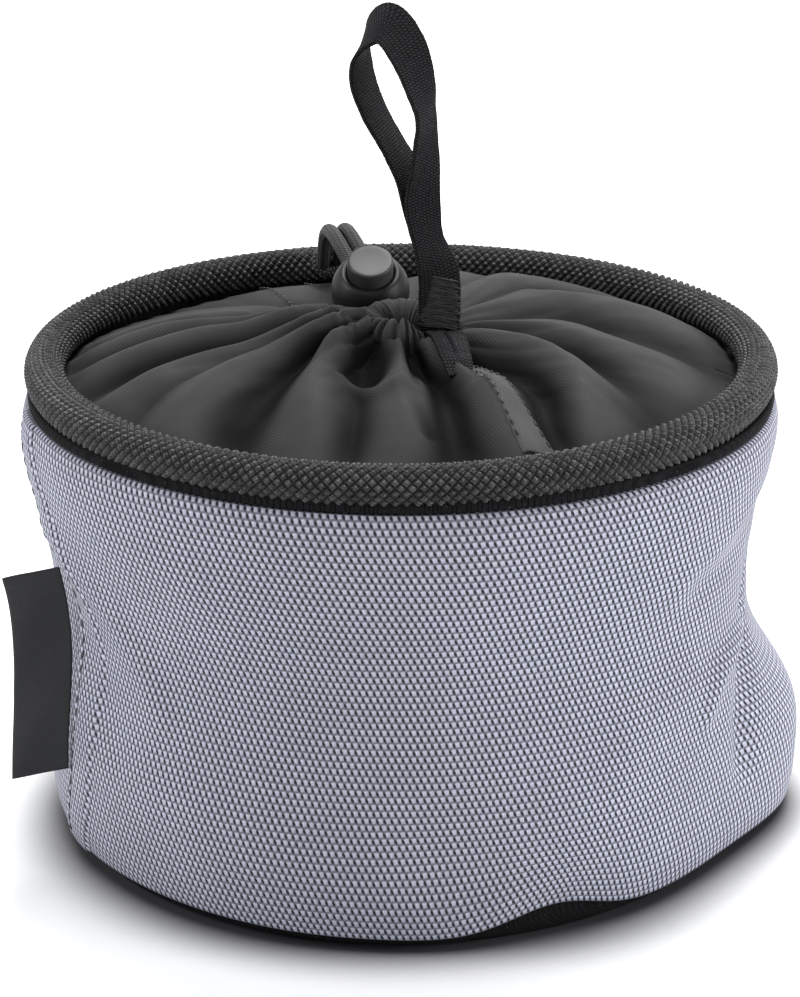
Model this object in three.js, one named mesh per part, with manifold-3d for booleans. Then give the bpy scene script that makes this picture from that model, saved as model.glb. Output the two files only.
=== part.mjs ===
// A round drawstring peg bag that stands by itself: a stiff grey woven wall on a black base, a braided
// rope round the rim, a thin gathered cover with a draw cord and a sprung ball lock, and a webbing loop.
// Millimetres, +Z up. The origin is the centre of the flat underside, and -Y is the front.

import * as THREE from 'three';
import { mergeVertices } from 'three/addons/utils/BufferGeometryUtils.js';
import Module from 'manifold-3d';

const wasm = await Module();
wasm.setup();

// General fits
const CLEAR = 0.3; // gap between two pieces that lie on each other
const OVERRUN = 1; // how far a cutting solid runs past the faces that it cuts
const RING_STEPS = 48; // facets round the bag

// Rim: a braided tube round a stiff hoop, slit along its underside where it is sewn on
const RIM_Z = 114; // height of the rope's centre line
const ROPE_D = 9.2;
const ROPE_INSET = 4.5; // how far its centre line lies inside the wall's top edge
const BAND_H = 3.4; // height of the dark band between the rope and the wall
const BRAID_T = 2.2; // thickness of the braid round the hoop
const ROPE_SLIT = 1.2;
const HOOP_FIT = 0.5; // room round the hoop inside the braid
const BINDING_T = 1.2; // tape that joins the rope, the wall and the cover
const BINDING_SKIRT = 11; // how far the tape reaches down inside the wall

// Wall: one woven panel, its top edge turned in and its two ends lapped at the left side
const WALL_FOOT = 6; // height of the seam to the base
const WALL_T = 1.5;
const WALL_WAIST_R = 83; // smallest outer radius, at mid height
const SHOULDER = 6.4; // how far the shoulder stands out past the waist
const HEM_DEPTH = 11; // depth of the turned-in top edge
const LAP_T = 0.9; // step of the lapped seam
const LAP_AZIMUTH = 206.2; // degrees from +X, counter-clockwise
const LAP_SPREAD = 5; // half of the lap's width, in degrees

// How far up the wall each level lies, and how much of the shoulder it stands out
const wallShares = [
  [0, 0.15],
  [0.07, 0.26],
  [0.16, 0.3],
  [0.27, 0.26],
  [0.4, 0.08],
  [0.5, 0],
  [0.62, 0.14],
  [0.76, 0.58],
  [0.89, 0.91],
  [0.96, 0.94],
  [1, 0.78],
];

// Sags of the standing bag: a lobe low on the right, a slack under the shoulder above it, and a
// raised fold in front
const LOBE_REACH = 11.7;
const LOBE_Z = 14;
const LOBE_TALL = 23;
const LOBE_AZIMUTH = 3;
const LOBE_SPREAD = 27;
const LOBE_DROP = 3;
const SLACK_DEPTH = 2;
const SLACK_Z = 84;
const SLACK_TALL = 14;
const SLACK_SPREAD = 45;
const FOLD_LIFT = 4;
const FOLD_AZIMUTH = -62;
const FOLD_SPREAD = 12;
const CREASE_DEPTH = 2.4; // creases and ridges of the wall beside the lobe
const CREASE_SPREAD = 6; // degrees
const CREASE_TALL = 9;
const SAG_TALL = 22; // height over which the lower edge's sags fade out

// Middle of each crease: its azimuth, its height as a share of the wall's, and its share of the depth,
// inwards where it is below nothing
const creaseShares = [
  [-15, 0.5, -1],
  [-22.5, 0.27, -1],
  [-30, 0.42, 0.7],
  [-15, 0.72, -0.4],
  [22.5, 0.42, -0.6],
  [30, 0.27, -0.6],
  [-150, 0.62, -0.5],
  [-142.5, 0.42, -0.4],
];

// Base
const BASE_T = 1.2;
const BASE_ROUND = 7; // width of the rounded edge round the flat that stands on the floor
const BASE_FLANGE = 7; // how far the base is turned up inside the wall
const SEAM_TAPE_T = 1;
const SEAM_TAPE_H = 7;

// Cover and its gathered mouth
const COVER_T = 1;
const COVER_RISE = 15.5; // how far the cover domes above its edge
const COVER_EDGE_DROP = 6.5; // how far its edge lies below the rope's centre line
const COVER_POWER = 3.1; // how flat the dome is on top
const MOUTH_X = 0.5;
const MOUTH_Y = -10;
const MOUTH_R = 4.3; // radius of the mouth inside the tunnel
const MOUTH_RISE = 5.5; // height of the draw cord's ring above the rope's centre line
const CASING_T = 2.05; // thickness of the gathered cloth round the cord
const PUCKER = 0.5; // depth of the tunnel's puckers
const PUCKERS = 12;
const COVER_FOLD = 5; // depth of the cover's deepest fold
const COVER_STEPS = 72; // facets round the cover
const HOLLOW_DEPTH = 4; // the left rear of the cover lies lower
const HOLLOW_AZIMUTH = 120;
const HOLLOW_SPREAD = 40;
const SWELL_H = 1.5; // and its right rear stands higher
const SWELL_AZIMUTH = 48;
const SWELL_SPREAD = 34;
// Levels of the cover from the mouth to the rim as shares of the way, and how strong the folds are there
const coverShares = [
  [0, 0.45],
  [0.08, 0.85],
  [0.2, 1],
  [0.36, 0.98],
  [0.54, 0.9],
  [0.74, 0.6],
  [0.91, 0.33],
  [1, 0.12],
];

// Crests of the cover: azimuths beside the mouth, at a third and two thirds of the way and at the rim;
// then the crest's height and the depth of the valley after it as shares of the deepest fold, and how
// narrow that valley is
const foldShares = [
  [-137, -124, -120, -119, 0.34, 0.8, 1.3],
  [-101, -95, -93, -95, 0.3, 0.92, 3.2],
  [-71, -67, -65, -63, 0.27, 0.72, 1.4],
  [-21, -26, -38, -43, 0.3, 0.88, 1.3],
  [1, -3, -17, -24, 0.31, 0.92, 1.2],
  [36, 40, 26, 17, 0.27, 0.48, 1.6],
  [60, 59, 54, 50, 0.22, 0.32, 1.6],
  [86, 83, 79, 75, 0.16, 0.24, 1.6],
  [113, 116, 114, 112, 0, 0.36, 1.2],
  [135, 147, 159, 167, 0.24, 0.52, 0.8],
  [157, 168, 175, 180, 0.27, 0.56, 0.8],
  [176, 182, 188, 195, 0.3, 1, 0.9],
  [194, 202, 210, 218, 0.3, 1.12, 1],
];

// Draw cord: round elastic
const CORD_D = 3.6;
const CORD_ROOM = 0.35; // room round the cord in the tunnel and in the lock
const STRAND_GAP = 0.4; // between the two strands
const CORD_SIDES = 8;

// Cord lock: a ball with a sprung button
const BUTTON_WALL = 1.3; // beside the button's slot
const BUTTON_RISE = 3.7; // how far it stands out of the ball
const BUTTON_EDGE = 0.6; // rounding of the button's edge
const BUTTON_TRAVEL = 2.4;
const BUTTON_FLOOR_T = 1.3; // bridge under the button's slot
const BALL_LIP = 1.18; // width of the flat lip round the well
const BALL_FLOOR_T = 1.3; // wall under the well
const LIP_ANGLE = 41.8; // degrees that the lip stands above the ball's middle
const WELL_EDGE = 0.5; // bevel round the well's mouth
const SPRING_WIRE = 0.5;
const SPRING_ROOM = 1.5; // between the spring and the well
const SPRING_TURNS = 3;
const LOCK_TILT = 28.6; // degrees that the button leans to the front
const LOCK_TURN = 17.7; // degrees that the strands turn to the left
const STRAND_RUN = 6.6; // from the ring's rear to the ball
const STRAND_END = 2.7; // where the held strands end, past the ball's centre
const LOCK_STEPS = 28;

// Knot at the end of the tails
const KNOT_R = 4.6;
const KNOT_L = 8;
const KNOT_STUB = 5;
const KNOT_STEPS = 12;

// The tails' middle line beyond the lock, chosen by hand
const tailRoute = [
  [-10.3, 19.7, 131.2],
  [-12.5, 25.5, 133.9],
  [-14.0, 29.7, 135.1],
  [-15.2, 33.0, 135.4],
  [-16.3, 36.0, 134.8],
  [-17.3, 38.7, 133.0],
  [-18.1, 40.8, 130.3],
  [-18.8, 42.5, 127.2],
  [-19.6, 44.2, 124.4],
  [-20.8, 46.4, 122.2],
  [-22.4, 49.0, 120.8],
  [-24.2, 51.8, 120.2],
];

// Hanging loop: webbing folded double, sewn down on the tunnel's right side
const STRAP_W = 9.8;
const STRAP_T = 1.1;
const STRAP_SEAT = 0.4; // room under it in which it tilts
const LOOP_RISE = 66.5; // from its lower end to the middle of its top
const LOOP_AZIMUTH = -16; // where it stands on the tunnel
const TACK_H = 12;
const TACK_W = 8.6;
const TACK_T = 0.7;
const TACK_FOOT = 1.2; // height of the stitched patch above the loop's lower end
// Middle line of the webbing as shares of the rise, and the direction of its width
const loopShares = [
  [0, -0.012, 0, 1, 0, 0],
  [0, -0.012, 0.16, 1, 0, 0],
  [-0.024, -0.011, 0.31, 0.92, 0.38, 0],
  [-0.046, -0.01, 0.47, 0.8, 0.6, 0],
  [-0.044, -0.019, 0.585, 0.6, 0.8, 0],
  [-0.038, -0.034, 0.685, 0.42, 0.9, 0.1],
  [-0.047, -0.046, 0.78, 0.5, 0.8, 0.3],
  [-0.08, -0.048, 0.875, 0.6, 0.6, 0.53],
  [-0.13, -0.028, 0.96, 0.45, 0.5, 0.74],
  [-0.195, 0.012, 1, 0.2, 0.5, 0.84],
  [-0.252, 0.056, 0.96, 0.15, 0.7, 0.7],
  [-0.278, 0.088, 0.875, 0.4, 0.82, 0.4],
  [-0.262, 0.094, 0.77, 0.62, 0.78, 0.05],
  [-0.218, 0.078, 0.665, 0.6, 0.8, 0],
  [-0.15, 0.048, 0.56, 0.6, 0.8, 0],
  [-0.084, 0.024, 0.45, 0.78, 0.62, 0],
  [-0.04, 0.014, 0.31, 0.92, 0.38, 0],
  [0, 0.012, 0.16, 1, 0, 0],
  [0, 0.012, 0, 1, 0, 0],
];
const LOOP_STEPS = 54;

// Side label: a folded ribbon caught in the lapped seam
const LABEL_L = 13.5;
const LABEL_H = 50.2;
const LABEL_T = 0.9;
const LABEL_SEAT = 0.5; // room at its root in which it bends
const LABEL_FOOT = 25.5;
const LABEL_DROOP = 3;
const LABEL_WAVE = 0.9;
const LABEL_STEPS = 10;

// Values that follow from the sizes above
const ROPE_R = ROPE_D / 2;
const ROPE_FOOT_Z = RIM_Z - ROPE_R;
const WALL_TOP = ROPE_FOOT_Z - BAND_H;
const WALL_TOP_R = WALL_WAIST_R + SHOULDER * wallShares.at(-1)[1];
const WALL_FOOT_R = WALL_WAIST_R + SHOULDER * wallShares[0][1];
const RIM_R = WALL_TOP_R - ROPE_INSET;
const REST_R = WALL_FOOT_R - BASE_ROUND;
const CORD_R = CORD_D / 2;
const STRAND_X = CORD_R + STRAND_GAP / 2;
const CASING_R = CORD_R + CORD_ROOM + CASING_T;
const MOUTH_RING_R = MOUTH_R + CASING_R;
const MOUTH_Z = RIM_Z + MOUTH_RISE;
const LOOP_FOOT_Z = MOUTH_Z + CASING_R + STRAP_SEAT;
const SLOT_HALF_W = STRAND_X + CORD_R + CORD_ROOM;
const SLOT_HALF_H = CORD_R + CORD_ROOM;
const BUTTON_R = SLOT_HALF_W + BUTTON_WALL;
const WELL_R = BUTTON_R + CLEAR;
const LIP_R = WELL_R + BALL_LIP;

const radians = THREE.MathUtils.degToRad;
const smooth = THREE.MathUtils.smoothstep;

const BALL_R = LIP_R / Math.cos(radians(LIP_ANGLE));
const BALL_TOP = BALL_R * Math.sin(radians(LIP_ANGLE));
const BALL_FLOOR = BALL_R - BALL_FLOOR_T; // depth of the well below the ball's middle
const BUTTON_TOP = BALL_TOP + BUTTON_RISE;
const BUTTON_FOOT = -SLOT_HALF_H - BUTTON_FLOOR_T;
const SPRING_R = WELL_R - SPRING_ROOM - SPRING_WIRE / 2;
const LOCK_RUN = STRAND_RUN + BALL_R;

function turnBetween(a, b) {
  const turn = (a - b) % 360;
  return turn > 180 ? turn - 360 : turn < -180 ? turn + 360 : turn;
}

function bell(distance, spread, power = 2) {
  return Math.exp(-(Math.abs(distance / spread) ** power));
}

// Reads a table of [share, value] rows at any share between its ends
function readShares(table, share) {
  const next = Math.max(1, table.findIndex(([at]) => at >= share));
  const [[a, low], [b, high]] = [table[next - 1], table[next]];
  return low + ((high - low) * (share - a)) / (b - a);
}

function wallOuterR(z) {
  const share = THREE.MathUtils.clamp((z - WALL_FOOT) / (WALL_TOP - WALL_FOOT), 0, 1);
  return WALL_WAIST_R + SHOULDER * readShares(wallShares, share);
}

// How far the wall's creases move it out
function creaseReach(azimuth, z) {
  const tall = WALL_TOP - WALL_FOOT;
  const reach = creaseShares.reduce((sum, [middle, share, depth]) => {
    const height = WALL_FOOT + share * tall;
    return sum + depth * bell(turnBetween(azimuth, middle), CREASE_SPREAD) * bell(z - height, CREASE_TALL);
  }, 0);
  return CREASE_DEPTH * reach;
}

// The sags move a point of the wall or the base out and up, and leave the flat underside alone
function sag(r, azimuth, z) {
  const hold = smooth(r, REST_R, WALL_WAIST_R - WALL_T - CLEAR - BASE_T);
  const lobe = bell(turnBetween(azimuth, LOBE_AZIMUTH), LOBE_SPREAD);
  const fold = bell(turnBetween(azimuth, FOLD_AZIMUTH), FOLD_SPREAD);
  const low = 1 - smooth(z, WALL_FOOT, WALL_FOOT + SAG_TALL);
  const slack = bell(turnBetween(azimuth, LOBE_AZIMUTH), SLACK_SPREAD) * bell(z - SLACK_Z, SLACK_TALL);
  const out = LOBE_REACH * lobe * bell(z - LOBE_Z, LOBE_TALL, 3) - SLACK_DEPTH * slack;
  const up = (FOLD_LIFT * fold - LOBE_DROP * lobe) * low * Math.min(1, z / WALL_FOOT);
  return [r + hold * out, z + hold * up];
}

// Geometry helpers

// Merges the corners that facets share, drops empty facets and turns the faces outwards
function solid(geometry) {
  geometry.deleteAttribute('normal');
  geometry.deleteAttribute('uv');
  const merged = mergeVertices(geometry, CLEAR / 1000);
  const at = merged.getAttribute('position');
  const index = merged.getIndex().array;
  const faces = [];
  let volume = 0;
  const [a, b, c] = [new THREE.Vector3(), new THREE.Vector3(), new THREE.Vector3()];
  for (let i = 0; i < index.length; i += 3) {
    const [p, q, r] = [index[i], index[i + 1], index[i + 2]];
    if (p === q || q === r || r === p) continue;
    faces.push([p, q, r]);
    b.fromBufferAttribute(at, q).cross(c.fromBufferAttribute(at, r));
    volume += a.fromBufferAttribute(at, p).dot(b);
  }
  merged.setIndex(faces.flatMap(([p, q, r]) => (volume < 0 ? [p, r, q] : [p, q, r])));
  return merged;
}

function toManifold(geometry) {
  const clean = solid(geometry);
  const vertProperties = new Float32Array(clean.getAttribute('position').array);
  const triVerts = new Uint32Array(clean.getIndex().array);
  return new wasm.Manifold(new wasm.Mesh({ numProp: 3, vertProperties, triVerts }));
}

function fromManifold(manifold) {
  const { vertProperties, triVerts } = manifold.getMesh();
  const geometry = new THREE.BufferGeometry();
  geometry.setAttribute('position', new THREE.BufferAttribute(vertProperties, 3));
  geometry.setIndex(new THREE.BufferAttribute(triVerts, 1));
  return geometry;
}

function cut(body, ...tools) {
  return fromManifold(tools.reduce((left, tool) => left.subtract(toManifold(tool)), toManifold(body)));
}

// Turns an outline of [radius, height] points round the Z axis
function revolve(outline, steps = RING_STEPS) {
  const points = outline.map(([r, z]) => new THREE.Vector2(r, z));
  if (points[0].x > 0) points.push(points[0].clone());
  return new THREE.LatheGeometry(points, steps).rotateX(Math.PI / 2);
}

// Moves each corner of a revolved shape: change takes radius, azimuth and height and gives a point
function mould(geometry, change) {
  const at = geometry.getAttribute('position');
  for (let i = 0; i < at.count; i += 1) {
    const [x, y, z] = [at.getX(i), at.getY(i), at.getZ(i)];
    const azimuth = THREE.MathUtils.radToDeg(Math.atan2(y, x));
    at.setXYZ(i, ...change(Math.hypot(x, y), azimuth, z));
  }
  return geometry;
}

function polar(r, azimuth, z) {
  return [r * Math.cos(radians(azimuth)), r * Math.sin(radians(azimuth)), z];
}

function arc(centreR, centreZ, radius, from, to, steps) {
  return Array.from({ length: steps + 1 }, (_, i) => {
    const angle = radians(from + ((to - from) * i) / steps);
    return [centreR + radius * Math.cos(angle), centreZ + radius * Math.sin(angle)];
  });
}

// A solid through a row of four-cornered sections, closed at both ends
function loft(sections) {
  const corners = sections[0].length;
  const geometry = new THREE.BufferGeometry();
  geometry.setFromPoints(sections.flat());
  const faces = [];
  for (let i = 0; i + 1 < sections.length; i += 1) {
    for (let j = 0; j < corners; j += 1) {
      const a = i * corners + j;
      const b = i * corners + ((j + 1) % corners);
      faces.push(a, b, b + corners, a, b + corners, a + corners);
    }
  }
  const last = (sections.length - 1) * corners;
  for (let j = 1; j + 1 < corners; j += 1) {
    faces.push(0, j + 1, j, last, last + j, last + j + 1);
  }
  geometry.setIndex(faces);
  return solid(geometry);
}

function circleShape(radius, sides) {
  const centre = new THREE.Vector2();
  const corner = (_, i) => new THREE.Vector2(radius, 0).rotateAround(centre, (i / sides) * Math.PI * 2);
  return new THREE.Shape(Array.from({ length: sides }, corner));
}

function tube(curve, radius, sides, steps) {
  return solid(new THREE.ExtrudeGeometry(circleShape(radius, sides), { steps, extrudePath: curve }));
}

const bag = new THREE.Group();

function addMesh(name, geometry, { color, roughness, metalness = 0 }, parent = bag) {
  const mesh = new THREE.Mesh(geometry, new THREE.MeshStandardMaterial({ color, roughness, metalness }));
  mesh.name = name;
  parent.add(mesh);
  return mesh;
}

const greyWeave = { color: 0x9a9cb0, roughness: 0.75 };
const blackWeave = { color: 0x232326, roughness: 0.85 };
const blackBraid = { color: 0x2a2a2c, roughness: 0.8 };
const nylon = { color: 0x333335, roughness: 0.5 };
const ribbon = { color: 0x3c3c3f, roughness: 0.6 };
const elastic = { color: 0x39393b, roughness: 0.7 };
const plastic = { color: 0x2f2f31, roughness: 0.4 };
const wire = { color: 0xb8b8ba, roughness: 0.3, metalness: 1 };

// Wall

function makeWall() {
  const height = WALL_TOP - WALL_FOOT;
  const hemShare = 1 - HEM_DEPTH / height;
  const levels = [...new Set([...wallShares.map(([share]) => share), hemShare])].sort((a, b) => a - b);
  const outer = levels.map((share) => [wallOuterR(WALL_FOOT + share * height), WALL_FOOT + share * height]);
  const plies = (share) => (share >= hemShare ? 2 : 1);
  const inner = levels.map((share, i) => [outer[i][0] - plies(share) * WALL_T, outer[i][1]]);
  const step = [wallOuterR(WALL_FOOT + hemShare * height) - WALL_T, WALL_FOOT + hemShare * height];
  inner.splice(levels.indexOf(hemShare), 0, step);
  return mould(revolve([...outer, ...inner.reverse()]), (r, azimuth, z) => {
    const onLap = Math.abs(turnBetween(azimuth, LAP_AZIMUTH)) < LAP_SPREAD;
    const lap = onLap && r > wallOuterR(z) - WALL_T / 2 ? LAP_T : 0;
    const [out, up] = sag(r, azimuth, z);
    return polar(out + lap + creaseReach(azimuth, z), azimuth, up);
  });
}

// Base: a dish whose turned-up edge is sewn inside the foot of the wall

function flangeR(z) {
  return wallOuterR(z) - WALL_T - CLEAR;
}

function makeBase() {
  const edge = flangeR(WALL_FOOT);
  const top = WALL_FOOT + BASE_FLANGE;
  const turn = edge - REST_R;
  const outline = [
    [0, 0],
    [REST_R, 0],
    [REST_R + turn * 0.6, WALL_FOOT * 0.14],
    [REST_R + turn * 1.05, WALL_FOOT * 0.5],
    [edge, WALL_FOOT],
    [flangeR(top), top],
    [flangeR(top) - BASE_T, top],
    [edge - BASE_T, WALL_FOOT],
    [REST_R + turn * 1.05 - BASE_T, WALL_FOOT * 0.5 + BASE_T * 0.5],
    [REST_R + turn * 0.6 - BASE_T * 0.5, WALL_FOOT * 0.14 + BASE_T],
    [REST_R - BASE_T, BASE_T],
    [0, BASE_T],
  ];
  return mould(revolve(outline), (r, azimuth, z) => {
    const [out, up] = sag(r, azimuth, z);
    return polar(out, azimuth, up);
  });
}

function makeSeamTape() {
  const foot = WALL_FOOT + CLEAR;
  const top = foot + SEAM_TAPE_H;
  const gap = BASE_T + CLEAR;
  const outline = [
    [flangeR(foot) - gap - SEAM_TAPE_T, foot],
    [flangeR(foot) - gap, foot],
    [flangeR(top) - gap, top],
    [flangeR(top) - gap - SEAM_TAPE_T, top],
  ];
  return mould(revolve(outline), (r, azimuth, z) => {
    const [out, up] = sag(r + gap, azimuth, z);
    return polar(out - gap, azimuth, up);
  });
}

// Rim

function makeRope() {
  const innerR = ROPE_R - BRAID_T;
  const slit = (radius) => THREE.MathUtils.radToDeg(Math.asin(ROPE_SLIT / 2 / radius));
  const outer = arc(RIM_R, RIM_Z, ROPE_R, -90 + slit(ROPE_R), 270 - slit(ROPE_R), 8);
  const inner = arc(RIM_R, RIM_Z, innerR, 270 - slit(innerR), -90 + slit(innerR), 5);
  return revolve([...outer, ...inner]);
}

function makeHoop() {
  const radius = ROPE_R - BRAID_T - HOOP_FIT;
  return revolve(arc(RIM_R, RIM_Z, radius, 0, 300, 5));
}

const skirtOuterR = wallOuterR(WALL_TOP) - 2 * WALL_T - CLEAR;
const skirtInnerR = skirtOuterR - BINDING_T;

function makeBinding() {
  const top = ROPE_FOOT_Z - CLEAR;
  const ledge = WALL_TOP + CLEAR;
  const outline = [
    [skirtInnerR, WALL_TOP - BINDING_SKIRT],
    [skirtOuterR, WALL_TOP - BINDING_SKIRT],
    [skirtOuterR, ledge],
    [wallOuterR(WALL_TOP) - BINDING_T / 2, ledge],
    [wallOuterR(WALL_TOP) - BINDING_T / 2, top],
    [skirtInnerR, top],
  ];
  return revolve(outline);
}

// Lock frame: local z is the button's axis, local y the way the strands run out, local x their spacing

const lock = new THREE.Group();
lock.rotation.set(radians(LOCK_TILT), 0, radians(LOCK_TURN), 'XYZ');
const spacing = new THREE.Vector3(1, 0, 0).applyEuler(lock.rotation);
const runOut = new THREE.Vector3(0, 1, 0).applyEuler(lock.rotation);
const level = new THREE.Vector3(runOut.x, runOut.y, 0).normalize();
const mouth = new THREE.Vector3(MOUTH_X, MOUTH_Y, MOUTH_Z);
const ringRear = mouth.clone().addScaledVector(level, MOUTH_RING_R);
lock.position.copy(ringRear).addScaledVector(runOut, LOCK_RUN);
const ballSeatZ = lock.position.z - BALL_R - CLEAR;
const tailEnd = new THREE.Vector3(...tailRoute.at(-1));

// Cover

const coverInR = MOUTH_RING_R + CASING_R + PUCKER + CLEAR;
const coverOutR = skirtInnerR - CLEAR;

function coverPlace(r, azimuth) {
  const share = THREE.MathUtils.clamp((r - coverInR) / (coverOutR - coverInR), 0, 1);
  const [x, y] = polar(r, azimuth, 0);
  return [x + MOUTH_X * (1 - share), y + MOUTH_Y * (1 - share), share];
}

function domeZ(share, azimuth) {
  const middle = Math.sin(Math.PI * share);
  const hollow = HOLLOW_DEPTH * bell(turnBetween(azimuth, HOLLOW_AZIMUTH), HOLLOW_SPREAD);
  const swell = SWELL_H * bell(turnBetween(azimuth, SWELL_AZIMUTH), SWELL_SPREAD);
  return RIM_Z - COVER_EDGE_DROP + COVER_RISE * (1 - share ** COVER_POWER) + (swell - hollow) * middle;
}

// Azimuths of the crests at a share of the way from the mouth to the rim
function crestAzimuths(share) {
  return foldShares.map((row) => {
    const stops = row.slice(0, 4).map((azimuth, i) => [i / 3, azimuth]);
    return readShares(stops, share);
  });
}

// Height of the main folds as a share of the deepest, over the crests below nothing
function foldForm(share, azimuth) {
  const crests = crestAzimuths(share);
  const turned = azimuth < crests[0] ? azimuth + 360 : azimuth;
  const at = crests.findLastIndex((crest) => crest <= turned);
  const next = (at + 1) % crests.length;
  const end = next ? crests[next] : crests[0] + 360;
  const part = (turned - crests[at]) / (end - crests[at]);
  const [height, depth, narrow] = foldShares[at].slice(4);
  const crest = height + (foldShares[next][4] - height) * smooth(part, 0, 1);
  return crest - depth * Math.sin(Math.PI * part) ** narrow;
}

function coverTopZ(r, azimuth) {
  const [x, y, share] = coverPlace(r, azimuth);
  const away = Math.hypot(x - lock.position.x, y - lock.position.y);
  const knotAway = Math.hypot(x - tailEnd.x, y - tailEnd.y);
  const seat = bell(away, BALL_R * Math.SQRT2);
  const held = (1 - seat) * (1 - bell(knotAway, KNOT_R + KNOT_L));
  const fold = COVER_FOLD * foldForm(share, azimuth) * readShares(coverShares, share);
  const top = domeZ(share, azimuth) + fold * held;
  const dip = Math.max(0, top + CLEAR - ballSeatZ) * seat;
  return top - dip;
}

function makeCover() {
  const radii = coverShares.map(([share]) => coverInR + share * (coverOutR - coverInR));
  const under = radii.map((r) => [r, -COVER_T]);
  const over = radii.map((r) => [r, 0]).reverse();
  return mould(revolve([...under, ...over], COVER_STEPS), (r, azimuth, z) => {
    const [x, y] = coverPlace(r, azimuth);
    return [x, y, coverTopZ(r, azimuth) + z];
  });
}

// Draw cord: a ring in the tunnel whose two ends run straight into the lock

function ringPoint(side, along) {
  return mouth.clone().addScaledVector(level, along).addScaledVector(sideways, side);
}

const sideways = new THREE.Vector3(level.y, -level.x, 0);

function strandPoint(side, along) {
  return lock.position.clone().addScaledVector(runOut, along).addScaledVector(spacing, side);
}

const BEND_TURN = 36; // where each strand leaves the ring, in degrees from the rear
const RING_TURN = 24; // spacing of the ring's route points, in degrees

// One half of the cord, from its end in the lock to the ring's front; side is 1 for right, -1 for left
function cordHalf(side) {
  const entry = -BALL_R - CORD_R;
  const strand = [STRAND_END, 0, -BALL_R / 2, entry].map((along) => strandPoint(side * STRAND_X, along));
  const bendSide = MOUTH_RING_R * Math.sin(radians(BEND_TURN));
  const bendAlong = MOUTH_RING_R * Math.cos(radians(BEND_TURN));
  const bend = [
    ringPoint(side * STRAND_X, MOUTH_RING_R + CORD_R),
    ringPoint((side * (STRAND_X * 2 + bendSide)) / 3, (MOUTH_RING_R + bendAlong * 2 + CORD_R) / 3),
  ];
  const ring = [];
  for (let turn = BEND_TURN; turn <= 180; turn += RING_TURN) {
    const along = MOUTH_RING_R * Math.cos(radians(turn));
    ring.push(ringPoint(side * MOUTH_RING_R * Math.sin(radians(turn)), along));
  }
  return [...strand, ...bend, ...ring];
}

function makeDrawCord() {
  const route = [...cordHalf(1), ...cordHalf(-1).reverse().slice(1)];
  return tube(new THREE.CatmullRomCurve3(route), CORD_R, CORD_SIDES, 56);
}

// The channel that holds half of the cord, run on past the ring's front so that the halves join
function channelTool(side) {
  const route = [...cordHalf(side), cordHalf(-side).at(-2)];
  return tube(new THREE.CatmullRomCurve3(route), CORD_R + CORD_ROOM, CORD_SIDES, 30);
}

function makeCasing() {
  const ring = revolve(arc(MOUTH_RING_R, MOUTH_Z, CASING_R, 0, 320, 8), 36);
  const puckered = mould(ring, (r, azimuth, z) => {
    const out = Math.max(0, r - MOUTH_RING_R) / CASING_R;
    const grow = 1 + (out * PUCKER * (1 + Math.cos(radians(PUCKERS * azimuth)))) / 2 / CASING_R;
    const [x, y] = polar(MOUTH_RING_R + (r - MOUTH_RING_R) * grow, azimuth, 0);
    return [x + MOUTH_X, y + MOUTH_Y, MOUTH_Z + (z - MOUTH_Z) * grow];
  });
  return cut(puckered, channelTool(1), channelTool(-1));
}

// Cord lock

function slotTool(floorZ, roofZ) {
  const half = SLOT_HALF_W;
  const round = CORD_R / 2;
  const shape = new THREE.Shape()
    .moveTo(-half + round, floorZ)
    .lineTo(half - round, floorZ)
    .quadraticCurveTo(half, floorZ, half, floorZ + round)
    .lineTo(half, roofZ - round)
    .quadraticCurveTo(half, roofZ, half - round, roofZ)
    .lineTo(-half + round, roofZ)
    .quadraticCurveTo(-half, roofZ, -half, roofZ - round)
    .lineTo(-half, floorZ + round)
    .quadraticCurveTo(-half, floorZ, -half + round, floorZ);
  const depth = 2 * (BALL_R + OVERRUN);
  const geometry = new THREE.ExtrudeGeometry(shape, { depth, bevelEnabled: false, curveSegments: 3 });
  return geometry.translate(0, 0, -depth / 2).rotateX(Math.PI / 2);
}

function makeLockBody() {
  const outline = [
    ...arc(0, 0, BALL_R, -90, LIP_ANGLE, 9),
    [WELL_R + BALL_LIP / 2, BALL_TOP],
    [WELL_R, BALL_TOP - WELL_EDGE],
    [WELL_R, -BALL_FLOOR + WELL_EDGE],
    [WELL_R - WELL_EDGE * 2, -BALL_FLOOR],
    [0, -BALL_FLOOR],
  ];
  outline[0][0] = 0;
  return cut(revolve(outline, LOCK_STEPS), slotTool(-SLOT_HALF_H, SLOT_HALF_H));
}

function makeButton() {
  const outline = [
    [0, BUTTON_FOOT],
    [BUTTON_R - BUTTON_EDGE / 2, BUTTON_FOOT],
    [BUTTON_R, BUTTON_FOOT + BUTTON_EDGE / 2],
    ...arc(BUTTON_R - BUTTON_EDGE, BUTTON_TOP - BUTTON_EDGE, BUTTON_EDGE, 0, 90, 3),
    [0, BUTTON_TOP],
  ];
  return cut(revolve(outline, LOCK_STEPS), slotTool(-SLOT_HALF_H, SLOT_HALF_H + BUTTON_TRAVEL));
}

class Helix extends THREE.Curve {
  getPoint(share) {
    const foot = -BALL_FLOOR + CLEAR + SPRING_WIRE / 2;
    const rise = BUTTON_FOOT - CLEAR - SPRING_WIRE / 2 - foot;
    const angle = share * SPRING_TURNS * Math.PI * 2;
    return new THREE.Vector3(SPRING_R * Math.cos(angle), SPRING_R * Math.sin(angle), foot + rise * share);
  }
}

function makeSpring() {
  const springRise = BUTTON_FOOT + BALL_FLOOR - 2 * CLEAR - SPRING_WIRE;
  console.log('least gap of the spring to itself, mm:', (springRise / SPRING_TURNS - SPRING_WIRE).toFixed(2));
  return tube(new Helix(), SPRING_WIRE / 2, 5, SPRING_TURNS * 12);
}

// Tails and knot

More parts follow.
